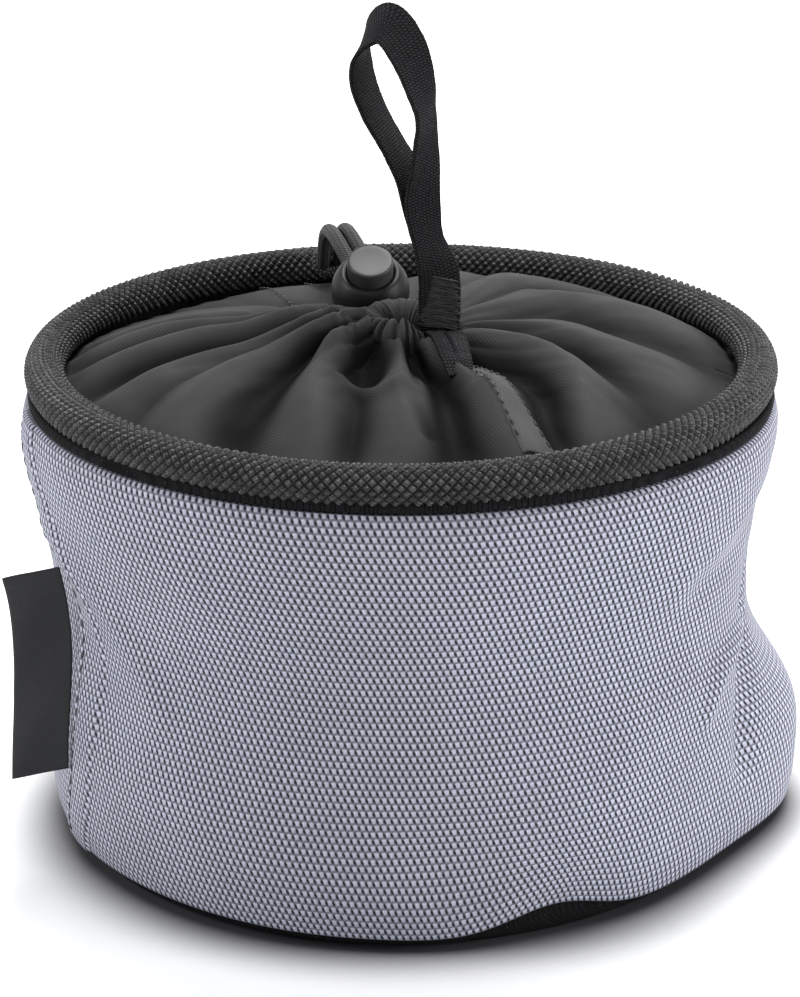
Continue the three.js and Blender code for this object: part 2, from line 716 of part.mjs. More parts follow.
const [knotLead, knotFace] = tailRoute.slice(-2).map(([x, y, z]) => new THREE.Vector3(x, y, z));
const knotWay = knotFace.clone().sub(knotLead).normalize();
const knotAcross = spacing.clone().addScaledVector(knotWay, -spacing.dot(knotWay)).normalize();

// One tail, from the held strand's end in the lock to the knot's flat face, which it meets squarely
function tailCurve(side) {
  const offset = spacing.clone().setZ(0).normalize().multiplyScalar(side);
  const start = [STRAND_END + CLEAR, BALL_R / 2, BALL_R].map((along) => strandPoint(side, along));
  const free = tailRoute.slice(0, -2).map(([x, y, z]) => new THREE.Vector3(x, y, z).add(offset));
  const end = [2, 1, 0].map((steps) =>
    knotFace.clone().addScaledVector(knotWay, -steps * CORD_R).addScaledVector(knotAcross, side)
  );
  return new THREE.CatmullRomCurve3([...start, ...free, ...end]);
}

function makeKnot() {
  const outline = [
    [0, 0],
    [KNOT_R * 0.9, 0],
    [KNOT_R, KNOT_L * 0.25],
    [KNOT_R, KNOT_L * 0.7],
    [KNOT_R * 0.8, KNOT_L],
    [CORD_R * 1.9, KNOT_L],
    [CORD_R * 1.9, KNOT_L + KNOT_STUB],
    [0, KNOT_L + KNOT_STUB],
  ];
  const knot = revolve(outline, KNOT_STEPS);
  knot.applyQuaternion(new THREE.Quaternion().setFromUnitVectors(new THREE.Vector3(0, 0, 1), knotWay));
  const seat = knotFace.clone().addScaledVector(knotWay, CLEAR);
  return knot.translate(seat.x, seat.y, seat.z);
}

// Hanging loop

const loopFoot = new THREE.Vector3(...polar(MOUTH_RING_R, LOOP_AZIMUTH, LOOP_FOOT_Z));
loopFoot.add(new THREE.Vector3(MOUTH_X, MOUTH_Y, 0));

function loopSections() {
  const foot = loopFoot.clone();
  const places = loopShares.map(([x, y, z]) => new THREE.Vector3(x, y, z).multiplyScalar(LOOP_RISE).add(foot));
  const widths = loopShares.map(([, , , x, y, z]) => new THREE.Vector3(x, y, z));
  const middle = new THREE.CatmullRomCurve3(places);
  const across = new THREE.CatmullRomCurve3(widths);
  return Array.from({ length: LOOP_STEPS + 1 }, (_, i) => {
    const share = i / LOOP_STEPS;
    const centre = middle.getPoint(share);
    const along = middle.getTangent(share);
    const wide = across.getPoint(share);
    wide.addScaledVector(along, -wide.dot(along)).normalize();
    const thick = new THREE.Vector3().crossVectors(along, wide).multiplyScalar(STRAP_T / 2);
    wide.multiplyScalar(STRAP_W / 2);
    return [[1, 1], [-1, 1], [-1, -1], [1, -1]].map(([w, t]) =>
      centre.clone().addScaledVector(wide, w).addScaledVector(thick, t)
    );
  });
}

function makeTack() {
  const front = loopFoot.y + loopShares[0][1] * LOOP_RISE - STRAP_T / 2 - CLEAR;
  const patch = new THREE.BoxGeometry(TACK_W, TACK_T, TACK_H);
  return patch.translate(loopFoot.x, front - TACK_T / 2, LOOP_FOOT_Z + TACK_FOOT + TACK_H / 2);
}

// Side label

function makeLabel() {
  const half = new THREE.Vector3(0, LABEL_T / 2, 0);
  const sections = [];
  for (let i = 0; i <= LABEL_STEPS; i += 1) {
    const share = i / LABEL_STEPS;
    const z = LABEL_FOOT + share * LABEL_H;
    const near = new THREE.Vector3(...polar(wallOuterR(z) + LAP_T + LABEL_SEAT, LAP_AZIMUTH, z));
    const wave = LABEL_WAVE * Math.sin(Math.PI * 2 * share);
    const far = near.clone().add(new THREE.Vector3(-LABEL_L, wave, -LABEL_DROOP));
    const front = [near.clone().sub(half), far.clone().sub(half)];
    sections.push([...front, far.clone().add(half), near.clone().add(half)]);
  }
  return loft(sections);
}

addMesh('outer_wall', makeWall(), greyWeave);
addMesh('base_panel', makeBase(), blackWeave);
addMesh('base_seam_tape', makeSeamTape(), blackWeave);
addMesh('rim_rope', makeRope(), blackBraid);
addMesh('rim_hoop', makeHoop(), plastic);
addMesh('rim_binding', makeBinding(), blackWeave);
addMesh('gathered_cover', makeCover(), nylon);
addMesh('cover_casing', makeCasing(), nylon);
addMesh('draw_cord', makeDrawCord(), elastic);
addMesh('side_label', makeLabel(), ribbon);
addMesh('hanging_loop', loft(loopSections()), blackWeave);
addMesh('loop_bar_tack', makeTack(), blackBraid);
addMesh('cord_lock_body', makeLockBody(), plastic, lock);
addMesh('cord_lock_button', makeButton(), plastic, lock);
addMesh('cord_lock_spring', makeSpring(), wire, lock);
bag.add(lock);
addMesh('cord_tail_left', tube(tailCurve(-STRAND_X), CORD_R, CORD_SIDES, 24), elastic);
addMesh('cord_tail_right', tube(tailCurve(STRAND_X), CORD_R, CORD_SIDES, 24), elastic);
addMesh('cord_knot', makeKnot(), elastic);

export default bag;
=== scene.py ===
"""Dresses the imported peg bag: grey woven wall, black base, braided rim, gathered nylon cover with its
draw cord, ball cord lock and tails, webbing loop and side label, on a plain pale floor."""

import math

import bmesh
import bpy
from bpy.props import FloatProperty, FloatVectorProperty, IntProperty, PointerProperty
from bpy.types import Operator, Panel, PropertyGroup
from mathutils import Matrix, Vector, noise


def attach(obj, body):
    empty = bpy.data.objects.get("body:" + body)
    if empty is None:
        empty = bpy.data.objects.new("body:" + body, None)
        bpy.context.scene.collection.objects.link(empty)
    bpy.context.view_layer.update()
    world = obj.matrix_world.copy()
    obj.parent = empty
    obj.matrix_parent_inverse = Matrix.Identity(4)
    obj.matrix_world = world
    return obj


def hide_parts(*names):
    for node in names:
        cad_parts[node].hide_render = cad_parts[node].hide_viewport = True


bl_info = {
    "name": "Peg bag",
    "version": (1, 0, 0),
    "blender": (4, 5, 0),
    "location": "3D View > Sidebar > Peg bag",
    "description": "Builds the cloth, cord and lock of a drawstring peg bag over its packed frame",
    "category": "Object",
}

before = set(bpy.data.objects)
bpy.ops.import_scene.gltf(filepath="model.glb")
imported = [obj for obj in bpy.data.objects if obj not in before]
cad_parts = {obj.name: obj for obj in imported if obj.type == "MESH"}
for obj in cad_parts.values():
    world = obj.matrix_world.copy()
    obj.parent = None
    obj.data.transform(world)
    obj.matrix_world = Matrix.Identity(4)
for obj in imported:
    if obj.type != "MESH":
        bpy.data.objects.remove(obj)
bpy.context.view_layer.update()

MM = 0.001
TURN = 2 * math.pi

# Sizes of the frame's solids and of what is laid on them, in millimetres
RIM_Z = 114
RIM_R = 83.49
WALL_FOOT = 6
WALL_TOP = 106
WALL_WAIST_R = 83
SHOULDER = 6.4
WALL_PLY = 1.25
BASE_ROUND = 7
BASE_PLY = 0.9
MOUTH = Vector((0.5, -10, 119.5))
TUNNEL_RING_R = 8.5
TUNNEL_R = 4.2
CORD_R = 1.8
STRAND_X = 2.0
BALL_R = 9.296
COVER_IN_R = 13.5
COVER_OUT_R = 83.28
COVER_T = 0.35
LOOP_RISE = 71.5
WEBBING_W, WEBBING_T = 9.8, 1.1
ROOT_T = 0.7
STRIP_T = 0.25

# Arc of one degree of the wall, in millimetres
WALL_ARC = 1.47
# Share of a cord's radius that its ribs take up
CORD_RIBS = 0.045
KNOT_RIBS = 0.05
LOOP_STEPS = 170

# How much of the shoulder the wall stands out by, at each share of its height
WALL_SHARES = [
    (0, 0.15), (0.07, 0.26), (0.16, 0.3), (0.27, 0.26), (0.4, 0.08), (0.5, 0),
    (0.62, 0.14), (0.76, 0.58), (0.89, 0.91), (0.96, 0.94), (1, 0.78),
]

# The lapped seam leans: azimuth in degrees at each height
SEAM_LEAN = [(6, 200), (22, 204), (50, 206.5), (64, 206), (78, 201.5), (92, 194.5), (106, 190)]

# Soft folds of the wall: points of azimuth and height, how far the cloth stands out, and its width
WALL_FOLDS = [
    ([(-10, 66), (-13.5, 58), (-14, 50), (-17.6, 42), (-21, 35), (-21.4, 26)], -2.4, 4.5),
    ([(-12, 57), (-20, 54), (-28, 51), (-31, 47), (-33, 43)], 1.7, 3.4),
    ([(-26, 50), (-40, 49), (-52, 46)], 1.0, 7),
    ([(-14, 92), (-22, 88), (-33, 83), (-42, 80)], 0.9, 5),
    ([(-14, 85), (-26, 80), (-37, 76)], -1.1, 5),
    ([(-158, 82), (-148, 76), (-141, 69), (-134, 58), (-131, 50)], 1.2, 5),
    ([(-158, 72), (-150, 60), (-144, 48), (-140, 38)], -1.3, 7),
    ([(-136, 95), (-122, 87)], 0.8, 9),
    ([(-140, 34), (-118, 25), (-95, 24)], 0.9, 10),
    ([(-86, 70), (-66, 66), (-46, 63)], -0.9, 13),
    ([(20, 60), (26, 44), (38, 30)], -1.6, 6),
    ([(60, 80), (78, 66), (92, 50)], 1.0, 9),
    ([(118, 30), (136, 44), (150, 62)], -1.0, 8),
    ([(100, 20), (120, 16), (150, 20)], 1.1, 9),
]

# Crests of the cover's folds: azimuth and distance about the mouth, lowest to highest azimuth
COVER_CRESTS = [
    ([(-96, 12), (-91, 24), (-89, 45), (-92, 72)], 1.2),
    ([(-70, 12), (-64, 26), (-62, 36), (-66, 54), (-66, 76)], 1.0),
    ([(-12, 14), (-16, 28), (-25, 39), (-42, 55), (-50, 70)], 1.2),
    ([(2, 14), (4, 33), (-6, 48), (-17, 71)], 1.05),
    ([(36, 14), (42, 30), (45, 45), (35, 54), (31, 64), (24, 76)], 0.9),
    ([(60, 14), (62, 40), (58, 66), (54, 84)], 0.75),
    ([(86, 14), (84, 40), (80, 66), (78, 84)], 0.55),
    ([(112, 14), (114, 40), (112, 70), (110, 90)], 0.35),
    ([(133, 14), (135, 24), (147, 48), (160, 75)], 0.8),
    ([(154, 14), (161, 29), (164, 47), (166, 78)], 0.9),
    ([(171, 14), (174, 30), (175, 50), (178, 75)], 1.0),
    ([(190, 14), (193, 30), (196, 50), (199, 70)], 1.0),
    ([(206, 12), (210, 30), (213, 47), (215, 61), (226, 74)], 1.3),
    ([(219, 10), (223, 21), (231, 30), (240, 42), (247, 54), (250, 66)], 1.15),
]
# What lies between each crest and the next: depth in millimetres and how narrow the valley is
COVER_VALLEYS = [
    (6.4, 0.8), (6.2, 1.0), (4.6, 1.2), (5.0, 1.2), (3.4, 1.4), (2.4, 1.6), (1.8, 1.6),
    (2.6, 1.2), (4.2, 1.6), (4.6, 1.6), (5.2, 1.2), (3.6, 2.4), (5.6, 0.8), (4.6, 1.0),
]
# How strong the folds and the pleats are, at each share of the way from the mouth to the rim
COVER_STRENGTH = [(0, 0.45), (0.08, 0.85), (0.22, 1), (0.5, 1.05), (0.75, 0.85), (0.92, 0.5), (1, 0.15)]
PLEAT_STRENGTH = [(0, 1), (0.06, 1), (0.14, 0.8), (0.26, 0.45), (0.4, 0.16), (0.52, 0)]
# Small forms of the cover: points in plan, height and width in millimetres
COVER_MARKS = [
    ([(-8.7, -24), (-5.2, -30), (-7, -36)], -3.0, 5.2),
    ([(-13, -38), (-10, -44), (-6, -48.5), (-2, -50), (1, -48)], 1.5, 2.2),
    ([(2.0, -24), (2.4, -34), (2.4, -44), (2.8, -56), (5.6, -64)], -1.8, 2.0),
    ([(12, -22), (15, -33), (18, -42)], -2.6, 3.2),
    ([(-30, -50), (-22, -40), (-16, -32)], -1.2, 4.5),
    ([(-49, -27), (-36, -23), (-24, -18)], -1.4, 4.5),
    ([(15, -48), (20, -53), (20, -60)], 0.8, 5),
]

# Middle line of the two tails, from behind the lock to the knot
TAIL_ROUTE = [
    (-10.2, 19.7, 130.9), (-12.2, 25.2, 133.2), (-13.6, 29.9, 134.3), (-14.6, 34.2, 134.5),
    (-15.5, 38.6, 134.0), (-16.1, 42.6, 132.6), (-16.6, 46.2, 130.3), (-16.9, 49.4, 127.3),
    (-17.1, 52.4, 124.3), (-17.3, 55.6, 121.9), (-17.5, 58.6, 120.5), (-17.7, 61.8, 119.8),
]

# Middle line of the loop's webbing as shares of its rise, and the direction of its width
LOOP_SHARES = [
    (0, -0.012, 0, 1, 0, 0), (0, -0.012, 0.185, 0.95, 0.3, 0), (-0.034, -0.011, 0.3, 0.68, 0.73, 0),
    (-0.052, -0.01, 0.43, 0.8, 0.6, 0), (-0.046, -0.019, 0.54, 0.66, 0.75, 0),
    (-0.044, -0.034, 0.64, 0.5, 0.86, 0.05), (-0.043, -0.046, 0.72, 0.4, 0.88, 0.2),
    (-0.06, -0.048, 0.81, 0.5, 0.72, 0.45), (-0.104, -0.03, 0.93, 0.5, 0.5, 0.7),
    (-0.165, 0.01, 1, 0.24, 0.5, 0.83), (-0.216, 0.055, 0.97, 0.15, 0.7, 0.7),
    (-0.247, 0.086, 0.895, 0.34, 0.84, 0.4), (-0.243, 0.094, 0.8, 0.52, 0.84, 0.05),
    (-0.206, 0.08, 0.7, 0.55, 0.84, 0), (-0.148, 0.055, 0.6, 0.52, 0.85, 0),
    (-0.092, 0.03, 0.5, 0.66, 0.75, 0), (-0.06, 0.016, 0.41, 0.8, 0.6, 0),
    (-0.036, 0.014, 0.3, 0.68, 0.73, 0), (0, 0.012, 0.185, 0.95, 0.3, 0), (0, 0.012, 0, 1, 0, 0),
]


class PegBagSizes(PropertyGroup):
    """Sizes of the peg bag's cloth and cord that a maker may change."""

    weave_pitch: FloatProperty(
        name="Wall weave pitch", description="Distance between two floats of the wall's weave",
        default=0.00162, min=0.0005, max=0.005, unit="LENGTH", precision=5)
    rope_turns: IntProperty(
        name="Braid turns", description="Turns of each strand round the rim on its way round the bag",
        default=19, min=9, max=25)
    rope_strands: IntProperty(
        name="Braid strands", description="Strands that run each way", default=12, min=8, max=16)
    cover_pleats: IntProperty(
        name="Mouth pleats", description="Small pleats round the drawn mouth", default=30, min=12, max=48)
    pleat_depth: FloatProperty(
        name="Mouth pleat depth", description="How far the small pleats stand out",
        default=0.0011, min=0, max=0.003, unit="LENGTH", precision=5)
    fold_depth: FloatProperty(
        name="Cover fold depth", description="Share of the cover's folds as drawn", default=1.0,
        min=0, max=1.5, subtype="FACTOR")
    stitch_length: FloatProperty(
        name="Stitch length", description="Length of one stitch of the seams",
        default=0.0022, min=0.001, max=0.005, unit="LENGTH", precision=5)


def cloth_colour(name, description, default):
    return FloatVectorProperty(
        name=name, description=description, subtype="COLOR", size=3, min=0, max=1, default=default)


class PegBagColours(PropertyGroup):
    """Colours of the peg bag's cloth, cord and plastic."""

    wall_float: cloth_colour("Wall yarn", "Pale yarn of the wall", (0.53, 0.54, 0.65))
    wall_gap: cloth_colour("Wall gaps", "Shade between the wall's yarns", (0.022, 0.022, 0.032))
    base: cloth_colour("Base", "Cloth of the base and the binding", (0.011, 0.011, 0.012))
    rope: cloth_colour("Rope", "Yarn of the braided rim", (0.030, 0.030, 0.031))
    cover: cloth_colour("Cover", "Nylon of the cover", (0.062, 0.062, 0.063))
    cord: cloth_colour("Cord", "Sheath of the elastic cord", (0.036, 0.036, 0.037))
    webbing: cloth_colour("Webbing", "Yarn of the hanging loop", (0.011, 0.011, 0.012))
    label: cloth_colour("Label", "Ribbon of the side label", (0.046, 0.047, 0.050))
    plastic: cloth_colour("Plastic", "Ball and hoop", (0.009, 0.009, 0.010))
    button: cloth_colour("Button", "Button of the cord lock", (0.021, 0.021, 0.022))
    floor: cloth_colour("Floor", "Pale floor", (0.9, 0.9, 0.9))


# Small reckoning


def between(value, low, high):
    return max(low, min(high, value))


def ease(value, low, high):
    share = between((value - low) / (high - low), 0, 1)
    return share * share * (3 - 2 * share)


def turn_between(a, b):
    return (a - b + 180) % 360 - 180


def bell(distance, spread, power=2):
    return math.exp(-(abs(distance / spread) ** power))


def read_line(table, at):
    """Reads rows of (place, value) at any place, with a smooth line through them."""
    if at <= table[0][0]:
        return table[0][1]
    if at >= table[-1][0]:
        return table[-1][1]
    i = next(i for i in range(1, len(table)) if table[i][0] >= at)
    (x0, y0), (x1, y1) = table[i - 1], table[i]

    def slope(j):
        a, b = table[max(0, j - 1)], table[min(len(table) - 1, j + 1)]
        return (b[1] - a[1]) / (b[0] - a[0])

    step, share = x1 - x0, (at - x0) / (x1 - x0)
    s2, s3 = share * share, share ** 3
    return (y0 * (2 * s3 - 3 * s2 + 1) + slope(i - 1) * step * (s3 - 2 * s2 + share)
            + y1 * (3 * s2 - 2 * s3) + slope(i) * step * (s3 - s2))


def sine(degrees):
    return math.sin(math.radians(degrees))


def cosine(degrees):
    return math.cos(math.radians(degrees))


def polar(radius, azimuth, z):
    return Vector((radius * cosine(azimuth), radius * sine(azimuth), z))


def distance_to_line(x, y, points):
    """Least distance from a point to a line of straight stretches."""
    least = 1e9
    for (ax, ay), (bx, by) in zip(points, points[1:]):
        dx, dy = bx - ax, by - ay
        share = between(((x - ax) * dx + (y - ay) * dy) / (dx * dx + dy * dy), 0, 1)
        least = min(least, math.hypot(x - ax - dx * share, y - ay - dy * share))
    return least


def smooth_run(points, share):
    """A point of the centripetal curve through the given points; the frame's cords follow the same curve."""
    last = len(points) - 1
    place = last * share
    i = min(int(place), last - 1)
    weight = place - i
    p1, p2 = points[i], points[i + 1]
    p0 = points[i - 1] if i > 0 else p1 * 2 - p2
    p3 = points[i + 2] if i + 2 <= last else p2 * 2 - p1
    d0, d1, d2 = ((b - a).length ** 0.5 or 1 for a, b in ((p0, p1), (p1, p2), (p2, p3)))
    t1 = ((p1 - p0) / d0 - (p2 - p0) / (d0 + d1) + (p2 - p1) / d1) * d1
    t2 = ((p2 - p1) / d1 - (p3 - p1) / (d1 + d2) + (p3 - p2) / d2) * d1
    w2, w3 = weight * weight, weight ** 3
    return p1 + t1 * weight + (p2 * 3 - p1 * 3 - t1 * 2 - t2) * w2 + (p1 * 2 - p2 * 2 + t1 + t2) * w3


# Mesh helpers


def run_lengths(points):
    """How far along a line each of its points lies."""
    lengths = [0.0]
    for a, b in zip(points, points[1:]):
        lengths.append(lengths[-1] + (b - a).length)
    return lengths


def heading(points, i):
    return (points[min(i + 1, len(points) - 1)] - points[max(i - 1, 0)]).normalized()


def squared(side, ahead):
    """A direction turned square to the one ahead."""
    return (side - ahead * side.dot(ahead)).normalized()


def lay_sheet(bm, cols, rows, place, spread):
    """Lays a grid by place(u, v), in millimetres, and maps it by spread(u, v), in metres."""
    made = bmesh.ops.create_grid(bm, x_segments=cols, y_segments=rows, size=0.5)["verts"]
    at = {vert: (vert.co.x + 0.5, vert.co.y + 0.5) for vert in made}
    chart = bm.loops.layers.uv.get("UVMap") or bm.loops.layers.uv.new("UVMap")
    for face in {face for vert in made for face in vert.link_faces}:
        for loop in face.loops:
            loop[chart].uv = spread(*at[loop.vert])
    for vert, (u, v) in at.items():
        vert.co = place(u, v) * MM


def turn_profile(bm, outline, steps, ring=False):
    """Turns points of (radius, height) once round the Z axis."""
    verts = [bm.verts.new((r * MM, 0, z * MM)) for r, z in outline]
    pairs = list(zip(verts, verts[1:] + verts[:1] if ring else verts[1:]))
    edges = [bm.edges.new(pair) for pair in pairs]
    bmesh.ops.spin(bm, geom=verts + edges, cent=(0, 0, 0), axis=(0, 0, 1), angle=TURN, steps=steps,
                   use_merge=True)


def rounded(outline, radius, steps=3):
    """Rounds the corners of a closed outline of (r, z) points."""
    made = []
    for i, point in enumerate(outline):
        here = Vector(point)
        before, after = Vector(outline[i - 1]) - here, Vector(outline[(i + 1) % len(outline)]) - here
        reach = min(radius, before.length * 0.45, after.length * 0.45)
        a, b = here + before.normalized() * reach, here + after.normalized() * reach
        for k in range(steps + 1):
            t = k / steps
            made.append(tuple(a * (1 - t) ** 2 + here * 2 * t * (1 - t) + b * t * t))
    return made


def put_object(name, data, place=(0, 0, 0), turn=(0, 0, 0)):
    """Links an object to the scene at a place and with a turn."""
    made = bpy.data.objects.new(name, data)
    made.location, made.rotation_euler = place, turn
    bpy.context.scene.collection.objects.link(made)
    return made


def put_mesh(name, bm):
    mesh = bpy.data.meshes.new(name)
    bm.to_mesh(mesh)
    bm.free()
    return put_object(name, mesh)


def place_piece(bm, name, finish, body, replaces=(), closed=True, up=False):
    """Makes a piece from a mesh in place, merged and turned outwards or up, and hangs it on its body."""
    bmesh.ops.remove_doubles(bm, verts=bm.verts, dist=1e-7)
    bmesh.ops.dissolve_degenerate(bm, edges=bm.edges, dist=1e-8)
    if closed:
        bmesh.ops.recalc_face_normals(bm, faces=bm.faces)
    elif up and sum(face.normal.z * face.calc_area() for face in bm.faces) < 0:
        bmesh.ops.reverse_faces(bm, faces=bm.faces)
    piece = put_mesh(name, bm)
    piece.data.shade_smooth()
    piece.data.materials.append(finish_of(finish))
    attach(piece, body)
    if replaces:
        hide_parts(*replaces)
    return piece


def place_cloth(bm, name, finish, thickness, replaces=()):
    """Places a sheet that lies on the bag, with its thickness under its outer face."""
    piece = place_piece(bm, name, finish, "bag", replaces, closed=False, up=True)
    layer = piece.modifiers.new("Thickness", "SOLIDIFY")
    layer.thickness = thickness * MM
    layer.offset = -1
    return piece


def capped(count, grow):
    """Stations along a form with closed ends: the point of each, and its share of the full size."""
    end = count - 1
    return [(0, 0.0), (0, grow), *((i, 1.0) for i in range(count)), (end, grow), (end, 0.0)]


def carried_frames(points):
    """Centres, tangents and turning-free side directions along a line of points."""
    side = heading(points, 0).cross(Vector((0, 0, 1)))
    side = side.normalized() if side.length > 1e-4 else Vector((1, 0, 0))
    frames = []
    for i, point in enumerate(points):
        ahead = heading(points, i)
        side = squared(side, ahead)
        frames.append((point, ahead, side))
    return frames


def lay_tube(bm, points, radius, sides, ribs=CORD_RIBS):
    """A round-ended tube along points, with ten ribs along it; ribs is their share of its radius."""
    frames, run, stations = carried_frames(points), run_lengths(points), capped(len(points), 0.55)
    last = len(stations) - 1

    def place(u, v):
        i, grow = stations[round(v * last)]
        centre, ahead, side = frames[i]
        angle = u * TURN
        out = radius * grow * (1 - ribs + ribs * abs(math.sin(angle * 5)))
        shift = (1 - grow) * 0.25 * radius * (1 if v > 0.5 else -1)
        up = ahead.cross(side)
        return centre + ahead * shift + side * (out * math.cos(angle)) + up * (out * math.sin(angle))

    lay_sheet(bm, sides, last, place,
              lambda u, v: (u * TURN * radius * MM, run[stations[round(v * last)][0]] * MM))


def lay_ribbon(bm, points, widths, breadth, thickness):
    """A flat band along points with its broad side along widths, closed at both ends."""
    half_b, half_t = breadth / 2, thickness / 2
    corners = [(half_b, half_t), (-half_b, half_t), (-half_b, -half_t), (half_b, -half_t)]
    section = [Vector(point) for point in rounded(corners, thickness * 0.35)]
    spaced = []
    for a, b in zip(section, section[1:] + section[:1]):
        parts = max(1, round((b - a).length / 1.2))
        spaced += [a.lerp(b, k / parts) for k in range(parts)]
    girth, run = run_lengths(spaced + spaced[:1]), run_lengths(points)
    stations = capped(len(points), 0.93)
    last = len(stations) - 1

    def place(u, v):
        i, grow = stations[round(v * last)]
        ahead = heading(points, i)
        wide = squared(widths[i], ahead)
        across, through = spaced[round(u * len(spaced)) % len(spaced)]
        shift = (1 - grow) * 0.1 * thickness * (1 if v > 0.5 else -1)
        return points[i] + ahead * shift + wide * (across * grow) + ahead.cross(wide) * (through * grow)

    lay_sheet(bm, len(spaced), last, place,
              lambda u, v: (girth[round(u * len(spaced))] * MM, run[stations[round(v * last)][0]] * MM))


def sew(bm, start, end, radius):
    """One stitch: a small rounded thread from start to end, in millimetres."""
    run = end - start
    turn = Vector((0, 0, 1)).rotation_difference(run).to_matrix().to_4x4()
    stretch = Matrix.Diagonal((radius * MM, radius * MM, (run.length / 2 + radius * 0.4) * MM, 1))
    bmesh.ops.create_uvsphere(
        bm, u_segments=8, v_segments=5, radius=1,
        matrix=Matrix.Translation((start + end) / 2 * MM) @ turn @ stretch)


def sew_row(bm, points, length, gap, radius):
    """A row of stitches along a line of points."""
    stretches = [(a, b, (b - a).length) for a, b in zip(points, points[1:])]

    def at_run(left):
        for a, b, size in stretches:
            if left <= size:
                return a.lerp(b, left / size)
            left -= size
        return points[-1]

    run, whole = 0.0, sum(size for _, _, size in stretches)
    while run + length <= whole:
        sew(bm, at_run(run), at_run(run + length), radius)
        run += length + gap


# Forms of the bag


def wall_radius(z):
    return WALL_WAIST_R + SHOULDER * read_line(WALL_SHARES, (z - WALL_FOOT) / (WALL_TOP - WALL_FOOT))


def sag(r, azimuth, z):
    """The frame's own sags: where a point of the wall or the base goes out and up."""
    rest = WALL_WAIST_R + SHOULDER * WALL_SHARES[0][1] - BASE_ROUND
    hold = ease(r, rest, WALL_WAIST_R - 3)
    turned = turn_between(azimuth, 3)
    lobe = bell(turned, 27 if turned > 0 else 20)
    fold, hang, lift = (bell(turn_between(azimuth, at), spread)
                        for at, spread in ((-65, 10.5), (-83, 9), (-138, 26)))
    slack = bell(turned, 45) * bell(z - 84, 14)
    low = 1 - ease(z, WALL_FOOT, WALL_FOOT + 22)
    out = 11.9 * lobe * bell(z - 16, 26, 3) - 2 * slack
    out -= 1.6 * bell(z - 3, 6) * (1 - lobe)
    up = (5.2 * fold - 0.4 * hang + 0.9 * lift - 0.6 * lobe - 2.4) * low * min(1, z / WALL_FOOT)
    return r + hold * out, z + hold * up


def rim_level(azimuth):
    """Height of the rope's middle: it is pressed down a little in front."""
    pressed, raised = bell(turn_between(azimuth, -95), 62), bell(turn_between(azimuth, 20), 40)
    return RIM_Z - 0.45 - 2.5 * pressed + 0.45 * raised


def mark_height(x, y, points, height, width):
    """What one small form adds at a place: a bell across its line of points."""
    away = distance_to_line(x, y, points)
    return height * bell(away, width) if away < width * 3 else 0.0


def soft_folds(azimuth, z):
    """The wall's small folds, faded out at its sewn edges."""
    held = ease(z, WALL_FOOT + 2, WALL_FOOT + 16) * (1 - ease(z, WALL_TOP - 22, WALL_TOP - 6))
    out = 0.0
    for points, height, width in WALL_FOLDS:
        first = points[0][0]
        near = first + turn_between(azimuth, first)
        out += mark_height(near * WALL_ARC, z, [(a * WALL_ARC, h) for a, h in points], height, width)
    return (out + noise.noise(polar(1.9, azimuth, z * 0.021)) * 1.1) * held


def wall_point(azimuth, z, inset):
    """A point of the wall; inset is its depth under the outer face."""
    out, up = sag(wall_radius(z), azimuth, z)
    lap = 0.0
    if inset < WALL_PLY / 2:
        past = turn_between(azimuth, read_line(SEAM_LEAN, z))
        lap = 0.85 * ease(past, -0.35, 0.25) * (1 - ease(past, 7.5, 8.6))
        lap -= 0.25 * bell(past - 1.6, 0.5)
    return polar(out + soft_folds(azimuth, z) + lap - inset, azimuth, up)


def about_mouth(x, y):
    """The cover's own radius, azimuth and share of the way at a point in plan."""
    r, azimuth, share = math.hypot(x - MOUTH.x, y - MOUTH.y), 0.0, 0.0
    for _ in range(10):
        share = between((r - COVER_IN_R) / (COVER_OUT_R - COVER_IN_R), 0, 1)
        px, py = x - MOUTH.x * (1 - share), y - MOUTH.y * (1 - share)
        r, azimuth = math.hypot(px, py), math.degrees(math.atan2(py, px))
    return r, azimuth, share


def crest_line(points):
    """A crest as a line of (cover radius, azimuth)."""
    line, turned = [], points[0][0]
    for azimuth, distance in points:
        spot = MOUTH + polar(distance, azimuth, 0)
        r, here, _ = about_mouth(spot.x, spot.y)
        turned += turn_between(here, turned)
        line.append((r, turned))
    return line


# The crests at a radius are reckoned once for each hundredth of a millimetre
CREST_LINES = [(crest_line(points), height) for points, height in COVER_CRESTS]
_crests_at = {}


def crests_at(r):
    key = round(r, 2)
    if key not in _crests_at:
        _crests_at[key] = [(read_line(line, r), height) for line, height in CREST_LINES]
    return _crests_at[key]


def fold_form(r, azimuth):
    """Height of the main folds, in millimetres: over the dome at a crest, under it in a valley."""
    crests = crests_at(r)
    start = crests[0][0]
    turned = start + (azimuth - start) % 360
    for i, (here, height) in enumerate(crests):
        after, next_height = crests[(i + 1) % len(crests)]
        after = after + 360 if i + 1 == len(crests) else after
        if turned <= after or i + 1 == len(crests):
            share = between((turned - here) / max(after - here, 1), 0, 1)
            depth, narrow = COVER_VALLEYS[i]
            crest = height + (next_height - height) * share * share * (3 - 2 * share)
            smooth = math.sin(math.pi * share) ** 2
            sharp = 1 - (math.cos(math.pi * share) ** 2 + 0.004) ** (0.7 / narrow)
            return crest * 1.6 - depth * (0.35 * smooth + 0.65 * sharp)
    return 0.0


def pleat_form(azimuth, pleats):
    """The small pleats round the mouth, of uneven widths, from 0 to 1."""
    swing = azimuth + 3.2 * sine(azimuth * 5 + 20) + 2.1 * sine(azimuth * 9)
    return abs(cosine(swing * pleats / 2)) ** 0.8


